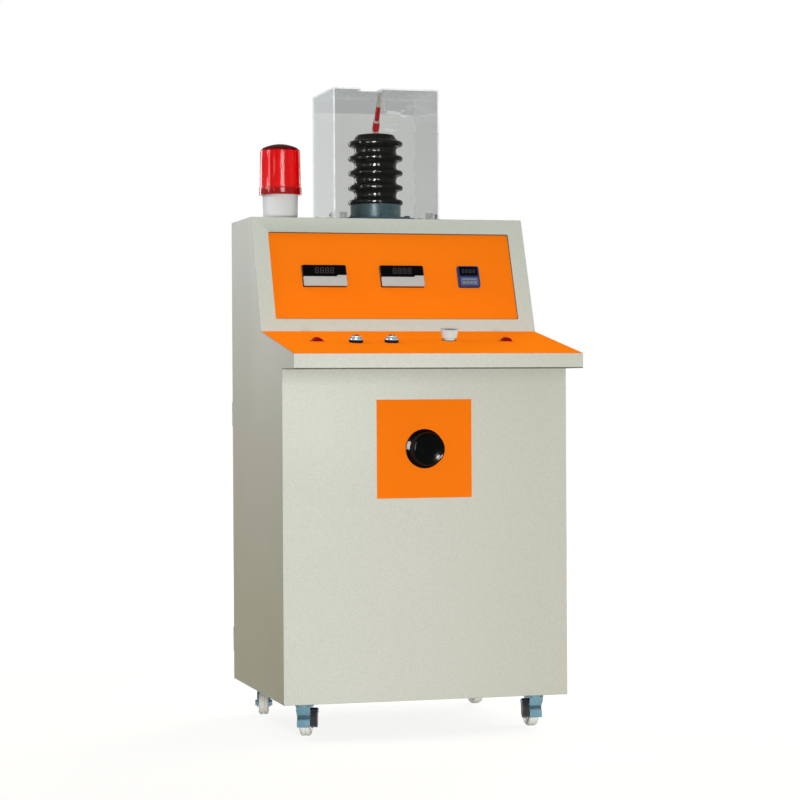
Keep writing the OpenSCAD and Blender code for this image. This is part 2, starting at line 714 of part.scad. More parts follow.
// Test transformer: tank on the shelf, lid with the neck that carries the bushing
module at_bushing(z) { at_front() translate([0, bushing_y, z]) children(); }
tank_w = 300;
tank_d = 140;
tank_z = shelf_z + sheet;
tank_headroom = 50;
tank_h = z_roof - tank_headroom - tank_z;
tank_corner = 14;
fin = [20, 3, tank_h - 60];
fin_pitch = 24;
tank_t = 3;
lid_t = 6;
neck_rise = 36;
neck_top = z_roof + neck_rise;
lid_rim = [16, 8];
lid_bolt = [12, 8, 6];
module transformer_tank() {
    color(blue_grey) at_bushing(tank_z) {
        difference() {
            linear_extrude(tank_h) rounded(tank_w, tank_d, tank_corner);
            translate([0, 0, tank_t]) linear_extrude(tank_h)
                rounded(tank_w - 2 * tank_t, tank_d - 2 * tank_t, tank_corner - tank_t);
        }
        for (side = [-1, 1], i = [-2 : 2])
            translate([side * (tank_w + fin.x - 2) / 2, i * fin_pitch, tank_h / 2]) cube(fin, center = true);
    }
}
module tank_lid() {
    color(blue_grey) at_bushing(tank_z + tank_h) {
        linear_extrude(lid_t) rounded(tank_w + lid_rim.x, tank_d + lid_rim.y, tank_corner + 2);
        translate([0, 0, lid_t]) cylinder(r = neck_d / 2, h = neck_top - tank_z - tank_h - lid_t);
        for (x = [-1, 1], y = [-1, 1])
            translate([x * (tank_w / 2 - lid_bolt.x), y * (tank_d / 2 - lid_bolt.x), lid_t])
                cylinder(r = lid_bolt.y, h = lid_bolt.z, $fn = 6);
    }
}
leg = 34;
core_stack = 60;
core_w = 210;
core_tall = 190;
module transformer_core() {
    w = (core_w - 3 * leg) / 2;
    color(iron) at_bushing(tank_z + tank_t) difference() {
        translate([-core_w / 2, -core_stack / 2, 0]) cube([core_w, core_stack, core_tall]);
        for (x = [leg / 2, -leg / 2 - w]) translate([x, -core_stack, leg])
            cube([w, 2 * core_stack, core_tall - 2 * leg]);
    }
}
wire_depth = [40, 28];
module transformer_winding() {
    h = core_tall - 2 * leg - 6;
    color(copper) at_bushing(tank_z + tank_t + leg) linear_extrude(h) difference() {
        rounded(leg + 2 * wire_depth.x, core_stack + 2 * wire_depth.y, 12);
        square([leg + 12, core_stack], center = true);
    }
}
flange_t = 6;
flange_bolt = [6.5, 5];
module roof_flange() {
    color(blue_grey) at_bushing(z_roof) {
        ring(flange_d / 2, neck_d / 2 + gap, flange_t);
        for (a = [30 : 60 : 330]) rotate(a) translate([(flange_d + neck_d) / 4, 0, flange_t])
            cylinder(r = flange_bolt.x, h = flange_bolt.y, $fn = 6);
    }
}

// Bushing: rounded sheds with hollow flanks, straight grooves and a flat top with a rounded rim
shed_root = 0.78;
shed_blunt = 1.15;
function shed_r(z, centre) = let (t = min(1, abs(z - centre) * 2 / shed_pitch / shed_root))
    bushing_d / 2 + (shed_d - bushing_d) / 2 * pow(0.5 + 0.5 * cos(180 * t), shed_blunt);
shoulder_h = 20;
shed_steps = 16;
crown_r = 4;
crown_in = 3;
bushing_top = first_shed + (sheds - 1) * shed_pitch + shoulder_h;
module bushing() {
    base = neck_top - z_roof;
    top_r = bushing_d / 2 - crown_in;
    waves = [for (i = [0 : sheds - 1], k = [0 : shed_steps - 1])
        let (c = first_shed + i * shed_pitch, z = c + shed_pitch * (k / shed_steps - 0.5))
        if (z > base + 0.5 && z < bushing_top - crown_r - 2) [shed_r(z, c), z]];
    crown = [for (a = [0 : 22.5 : 90])
        [top_r - crown_r + crown_r * cos(a), bushing_top - crown_r + crown_r * sin(a)]];
    color(black) at_bushing(z_roof) rotate_extrude($fn = 96) polygon(concat(
        [[0, base], [shed_r(base, first_shed), base]], waves, crown, [[0, bushing_top]]));
}
electrode_lean = 49;
electrode_turn = 8;
electrode_l = 116;
cap_h = 4;
rod_r = 3.5;
tube_r = 5.2;
socket_r = 2;
socket_l = 18;
boss = [8, 4];
boot = [11, 34];
boot_r = [7.6, 7];
collar = [6, 7];
tube_from = 81;
module at_electrode(z) {
    at_bushing(z_roof + bushing_top + cap_h) rotate([0, 0, -electrode_turn]) rotate([electrode_lean, 0, 0])
        translate([0, 0, z]) children();
}
module electrode_rod() {
    color([0.86, 0.85, 0.80]) {
        at_bushing(z_roof + bushing_top) rotate_extrude()
            polygon([[0, 0], [30, 0], [30, 1.5], [26, 2.5], [12, cap_h], [0, cap_h]]);
        difference() {
            union() {
                at_electrode(0) cylinder(r = rod_r, h = electrode_l - 1);
                at_bushing(z_roof + bushing_top + cap_h - 1) cylinder(r = boss[0], h = boss[1] + 1);
                at_electrode(boot[1]) cylinder(r = collar[0], h = collar[1]);
                at_electrode(tube_from) cylinder(r = tube_r, h = electrode_l - tube_from);
            }
            at_electrode(electrode_l - socket_l) cylinder(r = socket_r, h = socket_l + cut);
        }
    }
}
module electrode_sleeves() {
    r = rod_r + fit;
    boot_l = boot[1] - boot[0];
    sleeve_l = tube_from - boot[1] - collar[1];
    color([0.82, 0.08, 0.10]) {
        at_electrode(boot[0]) rotate_extrude()
            polygon([[r, 0], [boot_r[0], 0], [boot_r[0], boot_l - 6], [boot_r[1], boot_l], [r, boot_l]]);
        at_electrode(boot[1] + collar[1]) rotate_extrude()
            polygon([[r, 0], [tube_r + 0.4, 0], [tube_r, sleeve_l], [r, sleeve_l]]);
    }
}

// Clear cover: four walls and a top, cemented, with a notch for the test lead
cover_y = [bushing_y - cover_d / 2, bushing_y + cover_d / 2];
notch_x = -33;
notch_w = 48;
notch_l = 55;
notch_r = 3;
notch_drop = 6;
module clear_cover() {
    top = z_roof + cover_h;
    color([0.80, 0.84, 0.85, 0.35]) at_front() {
        difference() {
            block([-cover_w / 2, cover_y[0], top - cover_t], [cover_w / 2, cover_y[1], top]);
            translate([notch_x, cover_y[0], top - cover_t - cut])
                linear_extrude(cover_t + 2 * cut) rounded(notch_w, 2 * notch_l, notch_r);
        }
        difference() {
            block([-cover_w / 2, cover_y[0], z_roof], [cover_w / 2, cover_y[0] + cover_t, top - cover_t]);
            block([notch_x - notch_w / 2, cover_y[0] - cut, top - cover_t - notch_drop],
                  [notch_x + notch_w / 2, cover_y[0] + cover_t + cut, top]);
        }
        block([-cover_w / 2, cover_y[1] - cover_t, z_roof], [cover_w / 2, cover_y[1], top - cover_t]);
        for (side = [-1, 1]) {
            x = side * (cover_w - cover_t) / 2;
            block([x - cover_t / 2, cover_y[0] + cover_t, z_roof],
                  [x + cover_t / 2, cover_y[1] - cover_t, top - cover_t]);
        }
    }
}
// Angle bracket with its foot outwards; the upright's back is at y = 0
bracket_w = 16;
bracket_t = 1.5;
bracket_up = 14;
bracket_foot = 13;
head = [3.2, 2.2];
module bracket() {
    across(bracket_w) polygon([[0, 0], [0, bracket_up], [-bracket_t, bracket_up], [-bracket_t, bracket_t],
                               [-bracket_foot, bracket_t], [-bracket_foot, 0]]);
    translate([0, -bracket_foot / 2 - 1, bracket_t]) cylinder(r = head[0], h = head[1], $fn = 24);
    translate([0, -bracket_t, bracket_up - 5]) rotate([90, 0, 0])
        cylinder(r = head[0], h = head[1], $fn = 24);
}
bracket_x = cover_w / 2 - 22;
bracket_y = cover_d / 2 - 30;
module cover_brackets() {
    color(steel) at_bushing(z_roof) {
        for (x = [-bracket_x, bracket_x]) translate([x, cover_t - cover_d / 2, 0]) rotate(180) bracket();
        for (side = [-1, 1], y = [-bracket_y, bracket_y])
            translate([side * cover_w / 2, y, 0]) rotate(side * 90) bracket();
    }
}

// Beacon
module at_beacon(z) { at_front() translate([beacon_at.x, beacon_at.y, z_roof + z]) children(); }
lens_t = 2.5;
band_h = 16;
lens_seat = 2;
module beacon_base() {
    r = beacon_base_d / 2;
    color([0.70, 0.70, 0.68]) at_beacon(0) difference() {
        rotate_extrude() polygon([[0, 0], [r, 0], [r, 4], [r - 2.5, 5.5], [r - 1, beacon_base_h],
                                  [0, beacon_base_h]]);
        translate([0, 0, -cut]) cylinder(r = beacon_hole_r, h = beacon_base_h - 5 + cut);
    }
}
module lens_outline(inset_r) {
    r = lens_d / 2;
    shoulder = lens_h - 12;
    dome = [for (t = [0.8, 0.6, 0.4, 0.2, 0]) [(r - 8) * t, lens_h - 9 * t * t]];
    polygon(concat(
        [[0, 0], [r - inset_r, 0], [r - inset_r, band_h], [r - 1.5 - inset_r, band_h + 1],
         [r - 3 - inset_r, shoulder - 4], [r - 5 - inset_r, shoulder]],
        dome));
}
module beacon_lens() {
    color([0.80, 0.04, 0.05, 0.7]) at_beacon(beacon_base_h) difference() {
        rotate_extrude($fn = 72) lens_outline(0);
        intersection() {
            translate([0, 0, -lens_t]) rotate_extrude($fn = 72) lens_outline(lens_t);
            translate([0, 0, lens_t]) cylinder(r = lens_d, h = lens_h);
        }
        translate([0, 0, -cut]) cylinder(r = beacon_base_d / 2 - 1 - lens_seat, h = lens_t + 2 * cut);
    }
}
lamp_r = 9;
lamp_h = 34;
bulb_r = 11;
motor_r = 8;
motor_x = 26;
reflector_z = 14;
reflector_t = 4;
module beacon_lamp() {
    color(white) at_beacon(beacon_base_h) {
        cylinder(r = lamp_r, h = lamp_h);
        bulb = [for (a = [-45 : 22.5 : 90]) [bulb_r * cos(a), bulb_r * (1.3 + sin(a))]];
        translate([0, 0, lamp_h]) rotate_extrude() polygon(concat([[0, 0], [6, 0]], bulb));
        translate([motor_x, 0, 0]) cylinder(r = motor_r, h = reflector_z - gap);
    }
}
module beacon_reflector() {
    color(steel) at_beacon(beacon_base_h + reflector_z) {
        difference() {
            cylinder(r = 30, h = reflector_t);
            translate([0, 0, -cut]) cylinder(r = lamp_r + fit, h = reflector_t + 2 * cut);
        }
        rotate_extrude(angle = 150)
            polygon([[20, reflector_t], [23, reflector_t], [29, 22], [30, 38], [28, 56],
                     [26.5, 56], [28.5, 38], [27.3, 22]]);
    }
}

// Casters. Each stands on its swivel axis; its own -Y is the way it faces, its wheel trails to +Y.
caster_turn = [-24, 2, 165, 12];
module at_caster(i) {
    x = (i % 2 == 0 ? -1 : 1) * (cab_w / 2 - caster_inset_x);
    y = i < 2 ? caster_inset_y : cab_d - caster_inset_y;
    at_front() translate([x, y, 0]) rotate(caster_turn[i]) children();
}
plate_w = 56;
caster_plate_t = 3;
race_h = 3;
king_r = 5;
fork_top = caster_h - caster_plate_t - race_h - gap;
fork_t = 2.5;
leg_x = wheel_w / 2 + 1;
axle_r = 4;
axle_z = wheel_d / 2;
module caster_plates() {
    color(zinc) for (i = [0 : 3]) at_caster(i) {
        rotate(-caster_turn[i]) translate([0, 0, caster_h - caster_plate_t]) linear_extrude(caster_plate_t)
            rounded(plate_w, plate_w, 5);
        translate([0, 0, caster_h - caster_plate_t - race_h]) cylinder(r = 21, h = race_h);
        translate([0, 0, fork_top - fork_t - gap - 2.5]) {
            cylinder(r = king_r, h = caster_h - fork_top + fork_t + gap);
            cylinder(r = king_r + 3, h = 2.5);
        }
    }
}
// Outline of a fork leg as seen from the side, y to the right
module fork_side() {
    polygon([[-19, fork_top], [17, fork_top], [trail + 8.5, axle_z + 3], [trail - 8.5, axle_z - 3],
             [-15, fork_top - 12]]);
    translate([trail, axle_z]) circle(9);
}
fork_web_r = wheel_d / 2 + 5;
brake_side = [1, -1, 0, 0];
brake_pivot = [-4, fork_top - 11];
brake_pin_r = 2.5;
brake_tread = 13;
brake_eye = 6;
module fork(i) {
    color(zinc) at_caster(i) {
        difference() {
            union() {
                for (side = [-1, 1]) translate([side * (leg_x + fork_t / 2), 0, 0])
                    across(fork_t) fork_side();
                translate([0, 0, fork_top - fork_t]) cylinder(r = 19.5, h = fork_t);
                // curved web that joins the legs in front of the wheel
                across(2 * leg_x + fork_t) intersection() {
                    translate([trail, axle_z]) difference() {
                        circle(fork_web_r + 2);
                        circle(fork_web_r - 0.5);
                    }
                    polygon([[trail - 40, axle_z - 6], [trail - 12, axle_z], [trail - 12, axle_z + 29],
                             [trail - 40, axle_z + 29]]);
                }
            }
            translate([0, 0, fork_top - fork_t - cut]) cylinder(r = king_r + fit, h = fork_t + 2 * cut);
            translate([0, trail, axle_z]) rotate([0, 90, 0]) cylinder(r = axle_r, h = 60, center = true);
        }
        // axle bolt with its head and nut
        translate([0, trail, axle_z]) rotate([0, 90, 0]) {
            cylinder(r = axle_r, h = 2 * (leg_x + fork_t), center = true);
            for (side = [-1, 1]) translate([0, 0, side * (leg_x + fork_t + 2)])
                cylinder(r = 6.5, h = 4, center = true, $fn = 6);
        }
        if (brake_side[i] != 0)
            translate([brake_side[i] * (leg_x + fork_t - 0.5), brake_pivot.x, brake_pivot.y])
            rotate([0, brake_side[i] * 90, 0]) {
                cylinder(r = brake_pin_r, h = brake_tread + 0.5 + 2 * gap);
                translate([0, 0, brake_tread + 0.5 + 2 * gap]) cylinder(r = brake_pin_r + 2, h = 1.5);
            }
    }
}
groove = 1.6;
module wheel(i) {
    r = wheel_d / 2;
    h = wheel_w / 2;
    half = [[axle_r + fit, h - 0.5], [9, h - 0.5], [10, h - 4], [r - 8, h - 4], [r - 6, h - 0.5],
            [r - 4, h - 0.5], [r - 1, h - 2.5], [r, h - 6], [r, groove + 1], [r - groove, groove]];
    mirrored = [for (k = [len(half) - 1 : -1 : 0]) [half[k].x, -half[k].y]];
    color(white) at_caster(i) translate([0, trail, axle_z]) rotate([0, 90, 0])
        rotate_extrude($fn = 72) polygon(concat(half, mirrored));
}
// Side brake: a lever on the fork's inner side that is trodden down
module brake(i) {
    x = brake_side[i] * (leg_x + fork_t + gap + brake_tread / 2);
    color(black) at_caster(i) translate([x, 0, 0]) across(brake_tread) translate(brake_pivot) difference() {
        polygon(concat([for (a = [0 : 20 : 180]) brake_eye * [cos(a), sin(a)]],
                       [[-10, -12], [-7, -30], [-1, -34], [4, -26]]));
        circle(brake_pin_r + fit);
    }
}

side_panel(-1);  // side_panel_left
side_panel(1);  // side_panel_right
front_panel();
base_tray();
top_panel();
console_bezel();
instrument_panel();
desk_sheet();
desk_plate();
rear_panel();
door_hinges();
chassis();
regulator_plate();
meter_cases();
display_windows();
instrument_covers();
timer_case();
switch_frames();
button_bezels();
contact_blocks();
transformer_tank();
tank_lid();
transformer_core();
transformer_winding();
bushing();
roof_flange();
electrode_rod();
electrode_sleeves();
clear_cover();
cover_brackets();
beacon_base();
beacon_lens();
beacon_lamp();
beacon_reflector();
regulator_frame();
regulator_core();
regulator_winding();
regulator_rotor();
knob();
control_gear();
cable_gland();
earth_stud();
rear_door();
door_lock();
button_cap(button_x[0]);  // button_cap_left
button_cap(button_x[1]);  // button_cap_right
rocker(rocker_x[0], rocker_tilt);  // rocker_left
rocker(rocker_x[1], -rocker_tilt);  // rocker_right
mushroom_cap();
caster_plates();
fork(0);  // fork_front_left
fork(1);  // fork_front_right
fork(2);  // fork_rear_left
fork(3);  // fork_rear_right
wheel(0);  // wheel_front_left
wheel(1);  // wheel_front_right
wheel(2);  // wheel_rear_left
wheel(3);  // wheel_rear_right
brake(0);  // brake_left
brake(1);  // brake_right
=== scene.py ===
import json
import math
import random

import bmesh
import bpy
from mathutils import Matrix, Vector


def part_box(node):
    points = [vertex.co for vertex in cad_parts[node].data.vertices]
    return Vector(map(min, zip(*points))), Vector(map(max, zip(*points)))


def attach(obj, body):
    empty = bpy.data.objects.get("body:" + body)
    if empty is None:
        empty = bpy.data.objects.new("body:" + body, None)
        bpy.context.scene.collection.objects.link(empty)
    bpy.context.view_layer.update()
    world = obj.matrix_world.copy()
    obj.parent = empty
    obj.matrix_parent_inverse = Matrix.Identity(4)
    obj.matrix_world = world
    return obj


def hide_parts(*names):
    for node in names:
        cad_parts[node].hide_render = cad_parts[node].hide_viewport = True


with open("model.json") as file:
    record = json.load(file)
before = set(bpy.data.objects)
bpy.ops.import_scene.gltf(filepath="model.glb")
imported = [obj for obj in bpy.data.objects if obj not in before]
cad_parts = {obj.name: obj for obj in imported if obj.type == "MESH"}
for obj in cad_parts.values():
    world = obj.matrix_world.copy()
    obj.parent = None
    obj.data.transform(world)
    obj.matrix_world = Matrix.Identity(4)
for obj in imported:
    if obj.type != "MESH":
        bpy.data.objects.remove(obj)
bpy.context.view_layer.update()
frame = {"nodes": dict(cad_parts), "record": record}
NODES = frame["nodes"]
RECORD = frame["record"]
random.seed(7)

MM = 0.001
WHITE = (1, 1, 1, 1)

# Camera, from a fit of the photograph's edges
CAMERA_AT = Vector((-1.3748, -4.9238, 0.7069))
CAMERA_YAW, CAMERA_PITCH, CAMERA_ROLL = (math.radians(a) for a in (15.6166, -0.2886, -0.3137))
CAMERA_LENS, SENSOR_WIDTH = 108.86, 36

# Studio: the floor's colour, how bright it shows near the object and where it has gone over into white
FLOOR_SIZE = 60
FLOOR_TONE, FLOOR_WARMTH = 0.20, (1.0, 0.94, 0.74)
FLOOR_LIFT, FLOOR_FADE = 0.88, (1.2, 3.5)
WORLD_LIGHT = 0.22
GLINT_AWAY = 2.0

# Slanted planes of the console and of the desk: a point of their lower edge in millimetres, and the slope
SLOPE_AT, SLOPE_TURN = Vector((0, -10.5, 825)), math.atan2(245, 94)
DESK_AT, DESK_TURN = Vector((0, -309.5, 775)), math.atan2(50, 299)

# Meters and timer on the console, in millimetres along X, up the slope and out of it
METER_X, TIMER_X, ROW_S = (-152, 18), 166, 128
WINDOW_S, PAD_S = ROW_S + 11, ROW_S - 13
FACE_N, STEP_TOP_N = 2.0, 3.98
DIGITS, DIGIT_N = 4, (FACE_N - 0.02, FACE_N + 0.12)

# Turned pieces, in millimetres: how near the axis a profile starts, and the lens's inner radius at its seat
AXIS_R = 0.1
LENS_SEAT_R = 36.5
# The bushing's body, its sheds' rims, its rounded crown and the places of its sheds
BUSHING_R, RIM_R = 45.5, 6.2
CROWN_R, CROWN_IN = 4, 3
SHEDS, SHED_PITCH, FIRST_SHED_Z = 5, 32, 1111

# Casters: width of their plates, half width of their forks' hoods and each hood's turn at rest
PLATE_W = 56
HOOD_HALF = 12.0
HOOD_TURNS = {"front_left": -24, "front_right": 2, "rear_left": 165, "rear_right": 12}

# Screws of the upper rear panel: its outer face, the places of the heads and the size of the dark bars
# painted as their slots' shade
REAR_FACE = 285.5
SCREW_X, SCREW_Z = (-278, -93, 93, 278), (760, 1046)
SLOT_HALF, SLOT_HALF_W, SLOT_N = 2.4, 0.4, (2.1, 2.56)

# Clear cover, in metres: depth of the rear sheet's outer skin and of the seams, and the places of its darker
# band and of its patch of painted glints
SKIN, SEAM = 0.0035, 0.0031
BAND_TALL, GLINT_PATCH_TALL, GLINT_PATCH_FROM_X = 0.034, 0.075, 0.045

# Ranges of a noise's output between which a finish goes from its one end to its other
MIDDLE, CORE = (0.3, 0.7), (0.35, 0.65)
FINE_GRAIN_DEPTH = 0.0001
COMMON_IOR = 1.5


def make_camera():
    """A camera that stands and looks as the photographer's did."""
    ahead = Vector((math.sin(CAMERA_YAW) * math.cos(CAMERA_PITCH),
                    math.cos(CAMERA_YAW) * math.cos(CAMERA_PITCH), math.sin(CAMERA_PITCH)))
    level = Vector((math.cos(CAMERA_YAW), -math.sin(CAMERA_YAW), 0))
    upright = level.cross(ahead)
    right = math.cos(CAMERA_ROLL) * level + math.sin(CAMERA_ROLL) * upright
    up = -math.sin(CAMERA_ROLL) * level + math.cos(CAMERA_ROLL) * upright
    data = bpy.data.cameras.new("camera")
    data.sensor_width = SENSOR_WIDTH
    data.lens = CAMERA_LENS
    data.clip_start, data.clip_end = 0.1, 100
    camera = bpy.data.objects.new("camera", data)
    bpy.context.scene.collection.objects.link(camera)
    turn = Matrix((right, up, -ahead)).transposed()
    camera.matrix_world = Matrix.Translation(CAMERA_AT) @ turn.to_4x4()
    bpy.context.scene.camera = camera


# Slanted planes
def plane_out(turn):
    """The way out of a plane that slopes up towards the rear."""
    return Vector((0, -math.sin(turn), math.cos(turn)))


def on_slope(x, s, n):
    """A point of the console's face, in metres, from millimetres along X, up the slope and out of it."""
    along = Vector((0, math.cos(SLOPE_TURN), math.sin(SLOPE_TURN)))
    return (SLOPE_AT + Vector((x, 0, 0)) + s * along + n * plane_out(SLOPE_TURN)) * MM


# Node helpers
def linear(rgb):
    """sRGB numbers from 0 to 255 as scene-linear ones."""
    out = []
    for v in rgb:
        v /= 255
        out.append(v / 12.92 if v <= 0.04045 else ((v + 0.055) / 1.055) ** 2.4)
    return (*out, 1.0)


class Graph:
    """The nodes of a material or of the world, wired by short calls."""

    def __init__(self, owner, end="ShaderNodeOutputMaterial"):
        self.owner = owner
        owner.use_nodes = True
        self.tree = owner.node_tree
        self.tree.nodes.clear()
        self.end = self.add(end).inputs["Surface"]
        self.place = None

    @property
    def coord(self):
        """Places in metres, in the CAD frame."""
        if self.place is None:
            self.place = self.add("ShaderNodeTexCoord").outputs["Object"]
        return self.place

    def add(self, kind, **values):
        node = self.tree.nodes.new(kind)
        for key, value in values.items():
            setattr(node, key, value)
        return node

    def set(self, socket, value):
        """Links a socket, or gives it a plain value."""
        if isinstance(value, bpy.types.NodeSocket):
            self.tree.links.new(value, socket)
        elif value is not None:
            socket.default_value = value

    def shader(self, kind, *values):
        """A shader whose sockets take these values in their order."""
        node = self.add(kind)
        for socket, value in zip(node.inputs, values):
            self.set(socket, value)
        return node.outputs[0]

    def math(self, op, a, b=None, clamp=False):
        node = self.add("ShaderNodeMath", operation=op, use_clamp=clamp)
        self.set(node.inputs[0], a)
        self.set(node.inputs[1], b)
        return node.outputs[0]

    def both(self, a, b):
        return self.math("MULTIPLY", a, b)

    def either(self, a, b):
        return self.math("MAXIMUM", a, b)

    def noise(self, scale, detail=2.0, rough=0.5, stretch=None):
        node = self.add("ShaderNodeTexNoise")
        at = self.coord
        if stretch:
            mapping = self.add("ShaderNodeMapping")
            mapping.inputs["Scale"].default_value = stretch
            self.set(mapping.inputs["Vector"], at)
            at = mapping.outputs[0]
        self.set(node.inputs["Vector"], at)
        node.inputs["Scale"].default_value = scale
        node.inputs["Detail"].default_value = detail
        node.inputs["Roughness"].default_value = rough
        return node.outputs[0]

    def span(self, value, low, high, to_low=0.0, to_high=1.0):
        """The value, taken from one range to another and held at its ends."""
        node = self.add("ShaderNodeMapRange")
        self.set(node.inputs["Value"], value)
        for key, v in (("From Min", low), ("From Max", high), ("To Min", to_low), ("To Max", to_high)):
            node.inputs[key].default_value = v
        return node.outputs[0]

    def mix(self, factor, a, b, blend="MIX"):
        node = self.add("ShaderNodeMix", data_type="RGBA", blend_type=blend)
        self.set(node.inputs["Factor"], factor)
        self.set(node.inputs[6], a)
        self.set(node.inputs[7], b)
        return node.outputs[2]

    def axis(self, index):
        node = self.add("ShaderNodeSeparateXYZ")
        self.set(node.inputs[0], self.coord)
        return node.outputs[index]

    def above(self, value, limit):
        return self.math("GREATER_THAN", value, limit)

    def below(self, value, limit):
        return self.math("LESS_THAN", value, limit)

    def dot(self, a, b):
        node = self.add("ShaderNodeVectorMath", operation="DOT_PRODUCT")
        self.set(node.inputs[0], a)
        self.set(node.inputs[1], b)
        return node.outputs["Value"]

    def facing(self, way):
        """1 where the surface faces this way, 0 where it is edge on."""
        return self.dot(self.add("ShaderNodeNewGeometry").outputs["Normal"], way)

    def height(self, origin, turn):
        """Metres above a slanted plane."""
        out = plane_out(turn)
        return self.math("SUBTRACT", self.dot(self.coord, out), out.dot(origin) * MM)

    def bevel(self, radius):
        node = self.add("ShaderNodeBevel", samples=4)
        node.inputs["Radius"].default_value = radius
        return node.outputs[0]

    def edges(self, radius):
        """1 on outer and inner edges, 0 on flat places."""
        flat = self.add("ShaderNodeNewGeometry").outputs["Normal"]
        return self.span(self.dot(self.bevel(radius), flat), 0.99, 0.80)

    def bump(self, height, strength, distance, normal=None):
        node = self.add("ShaderNodeBump")
        node.inputs["Strength"].default_value = strength
        node.inputs["Distance"].default_value = distance
        self.set(node.inputs["Height"], height)
        self.set(node.inputs["Normal"], normal)
        return node.outputs[0]

    def background_rays(self):
        """1 for the camera's own rays and for those through clear sheets or off gloss."""
        path = self.add("ShaderNodeLightPath")
        return self.either(path.outputs["Is Camera Ray"],
                           self.either(path.outputs["Is Transmission Ray"], path.outputs["Is Glossy Ray"]))


def look(name, rgb, rough=0.5, metal=0.0, mottle=0.05, mottle_scale=6.0, grain=400.0, grain_bump=0.15,
         rough_spread=0.08, edge=None, bevel=0.0006, coat=0.0, specular=0.5, tint=None, speck=0.0, dull=None):
    """A finish: base colour with slow variation, fine grain, uneven gloss and lighter rubbed edges, partly
    painted highlight.

    edge is the colour of rubbed edges and their share, lighter partly as wear and partly as a painted
    highlight;
    tint and dull change the colour and the roughness by place, tint also painting light and shade on some
    pieces, and speck is the strength of fine flecks.
    """
    g = Graph(bpy.data.materials.new(name))
    bsdf = g.add("ShaderNodeBsdfPrincipled")
    base = linear(rgb)[:3]
    dark, light = ((*(min(1.0, c * (1 + way * mottle)) for c in base), 1) for way in (-1, 1))
    colour = g.mix(g.span(g.noise(mottle_scale, 4.0, 0.6), *CORE), dark, light)
    if tint:
        colour = tint(g, colour)
    if speck:
        flecks = g.span(g.noise(380, 2.0, 0.6), *MIDDLE, 1 - speck, 1 + speck)
        colour = g.mix(1.0, colour, flecks, "MULTIPLY")
    if edge:
        spots = g.span(g.noise(180.0, 3.0, 0.7), 0.38, 0.62)
        # Lighter rubbed edges: partly wear, partly a painted highlight along the edges
        wear_and_highlight = g.math("MULTIPLY", g.edges(bevel * 2.2), g.both(spots, edge[1]), True)
        colour = g.mix(wear_and_highlight, colour, linear(edge[0]))
    gloss = g.span(g.noise(mottle_scale * 5, 3.0), *MIDDLE, max(0.02, rough - rough_spread),
                   min(1.0, rough + rough_spread))
    fine = g.noise(grain, 3.0, 0.6)
    for key, value in (("Base Color", colour), ("Roughness", dull(g, gloss) if dull else gloss),
                       ("Normal", g.bump(fine, grain_bump, FINE_GRAIN_DEPTH, g.bevel(bevel))),
                       ("Metallic", metal), ("IOR", COMMON_IOR), ("Coat Weight", coat),
                       ("Specular IOR Level", specular)):
        g.set(bsdf.inputs[key], value)
    g.set(g.end, bsdf.outputs[0])
    return g.owner


def cabinet_paint(name, tint=None, rgb=(210, 210, 198)):
    """The cabinet's pale grey paint, with an optional change of its colour by place."""
    return look(name, rgb, 0.42, mottle=0.015, mottle_scale=3.0, grain=900, grain_bump=0.25,
                edge=((228, 227, 219), 0.4), bevel=0.0012, rough_spread=0.015, specular=0.3, tint=tint,
                speck=0.07)


def orange_paint(name, rgb):
    """The satin orange of the instrument panel and of the regulator's plate."""
    return look(name, rgb, 0.55, mottle=0.012, mottle_scale=4.0, grain=1100, edge=((255, 170, 90), 0.4),
                specular=0.04)


# Changes of a finish by place on the object, several of them light and shade painted into the colour
def recess_painted_shade(g, colour):
    """Painted shade: dark teal on the walls of the instrument panel's opening, where the recess lies in
    shade.
    """
    depth = g.height(SLOPE_AT, SLOPE_TURN)
    # Painted shade on the walls of the recess
    walls = g.both(g.below(depth, -0.0010), g.above(depth, -0.0065))
    return g.mix(walls, colour, linear((52, 96, 98)))


def chrome_painted_reflection(g, colour):
    """Painted reflection: a bright shoulder between a dark foot and a dark crown, as polished buttons mirror
    their surroundings.
    """
    # Painted reflection: bright only on the shoulder, dark on the foot and on the crown
    over_foot = g.span(g.height(DESK_AT, DESK_TURN), 0.0062, 0.0088)
    off_crown = g.span(g.facing(plane_out(DESK_TURN)), 0.86, 0.96, 1.0, 0.0)
    return g.mix(g.both(over_foot, off_crown), linear((16, 22, 30)), colour)


def side_painted_light_and_shade(g, colour):
    """The left side's paint: painted shade warmer and darker to its foot, painted light a shade lighter at
    the front below the desk's lip.
    """
    outer = g.above(g.facing(Vector((-1, 0, 0))), 0.9)
    # Painted light: a shade lighter at the front below the desk's lip
    by_lip = g.both(g.span(g.axis(1), 0.12, 0.0), g.span(g.axis(2), 0.60, 0.72))
    colour = g.mix(g.both(by_lip, outer), colour, linear((222, 222, 211)))
    # Painted shade: darker and warmer towards the foot
    low = g.span(g.axis(2), 0.95, 0.25)
    return g.mix(g.both(low, outer), colour, linear((193, 188, 150)))


def front_painted_light_and_shade(g, colour):
    """The front's paint: painted light at the upper left, painted shade to the right and a painted shadow
    under the lip.
    """
    # Painted shade to the right, painted light at the upper left and a painted shadow under the lip
    right = g.span(g.axis(0), -0.18, 0.24)
    colour = g.mix(right, colour, linear((200, 199, 185)))
    upper_left = g.both(g.span(g.axis(2), 0.50, 0.68), g.span(g.axis(0), 0.05, -0.22))
    colour = g.mix(upper_left, colour, linear((218, 219, 207)))
    return g.mix(g.span(g.axis(2), 0.712, 0.742, 0.0, 0.75), colour, linear((188, 187, 172)))


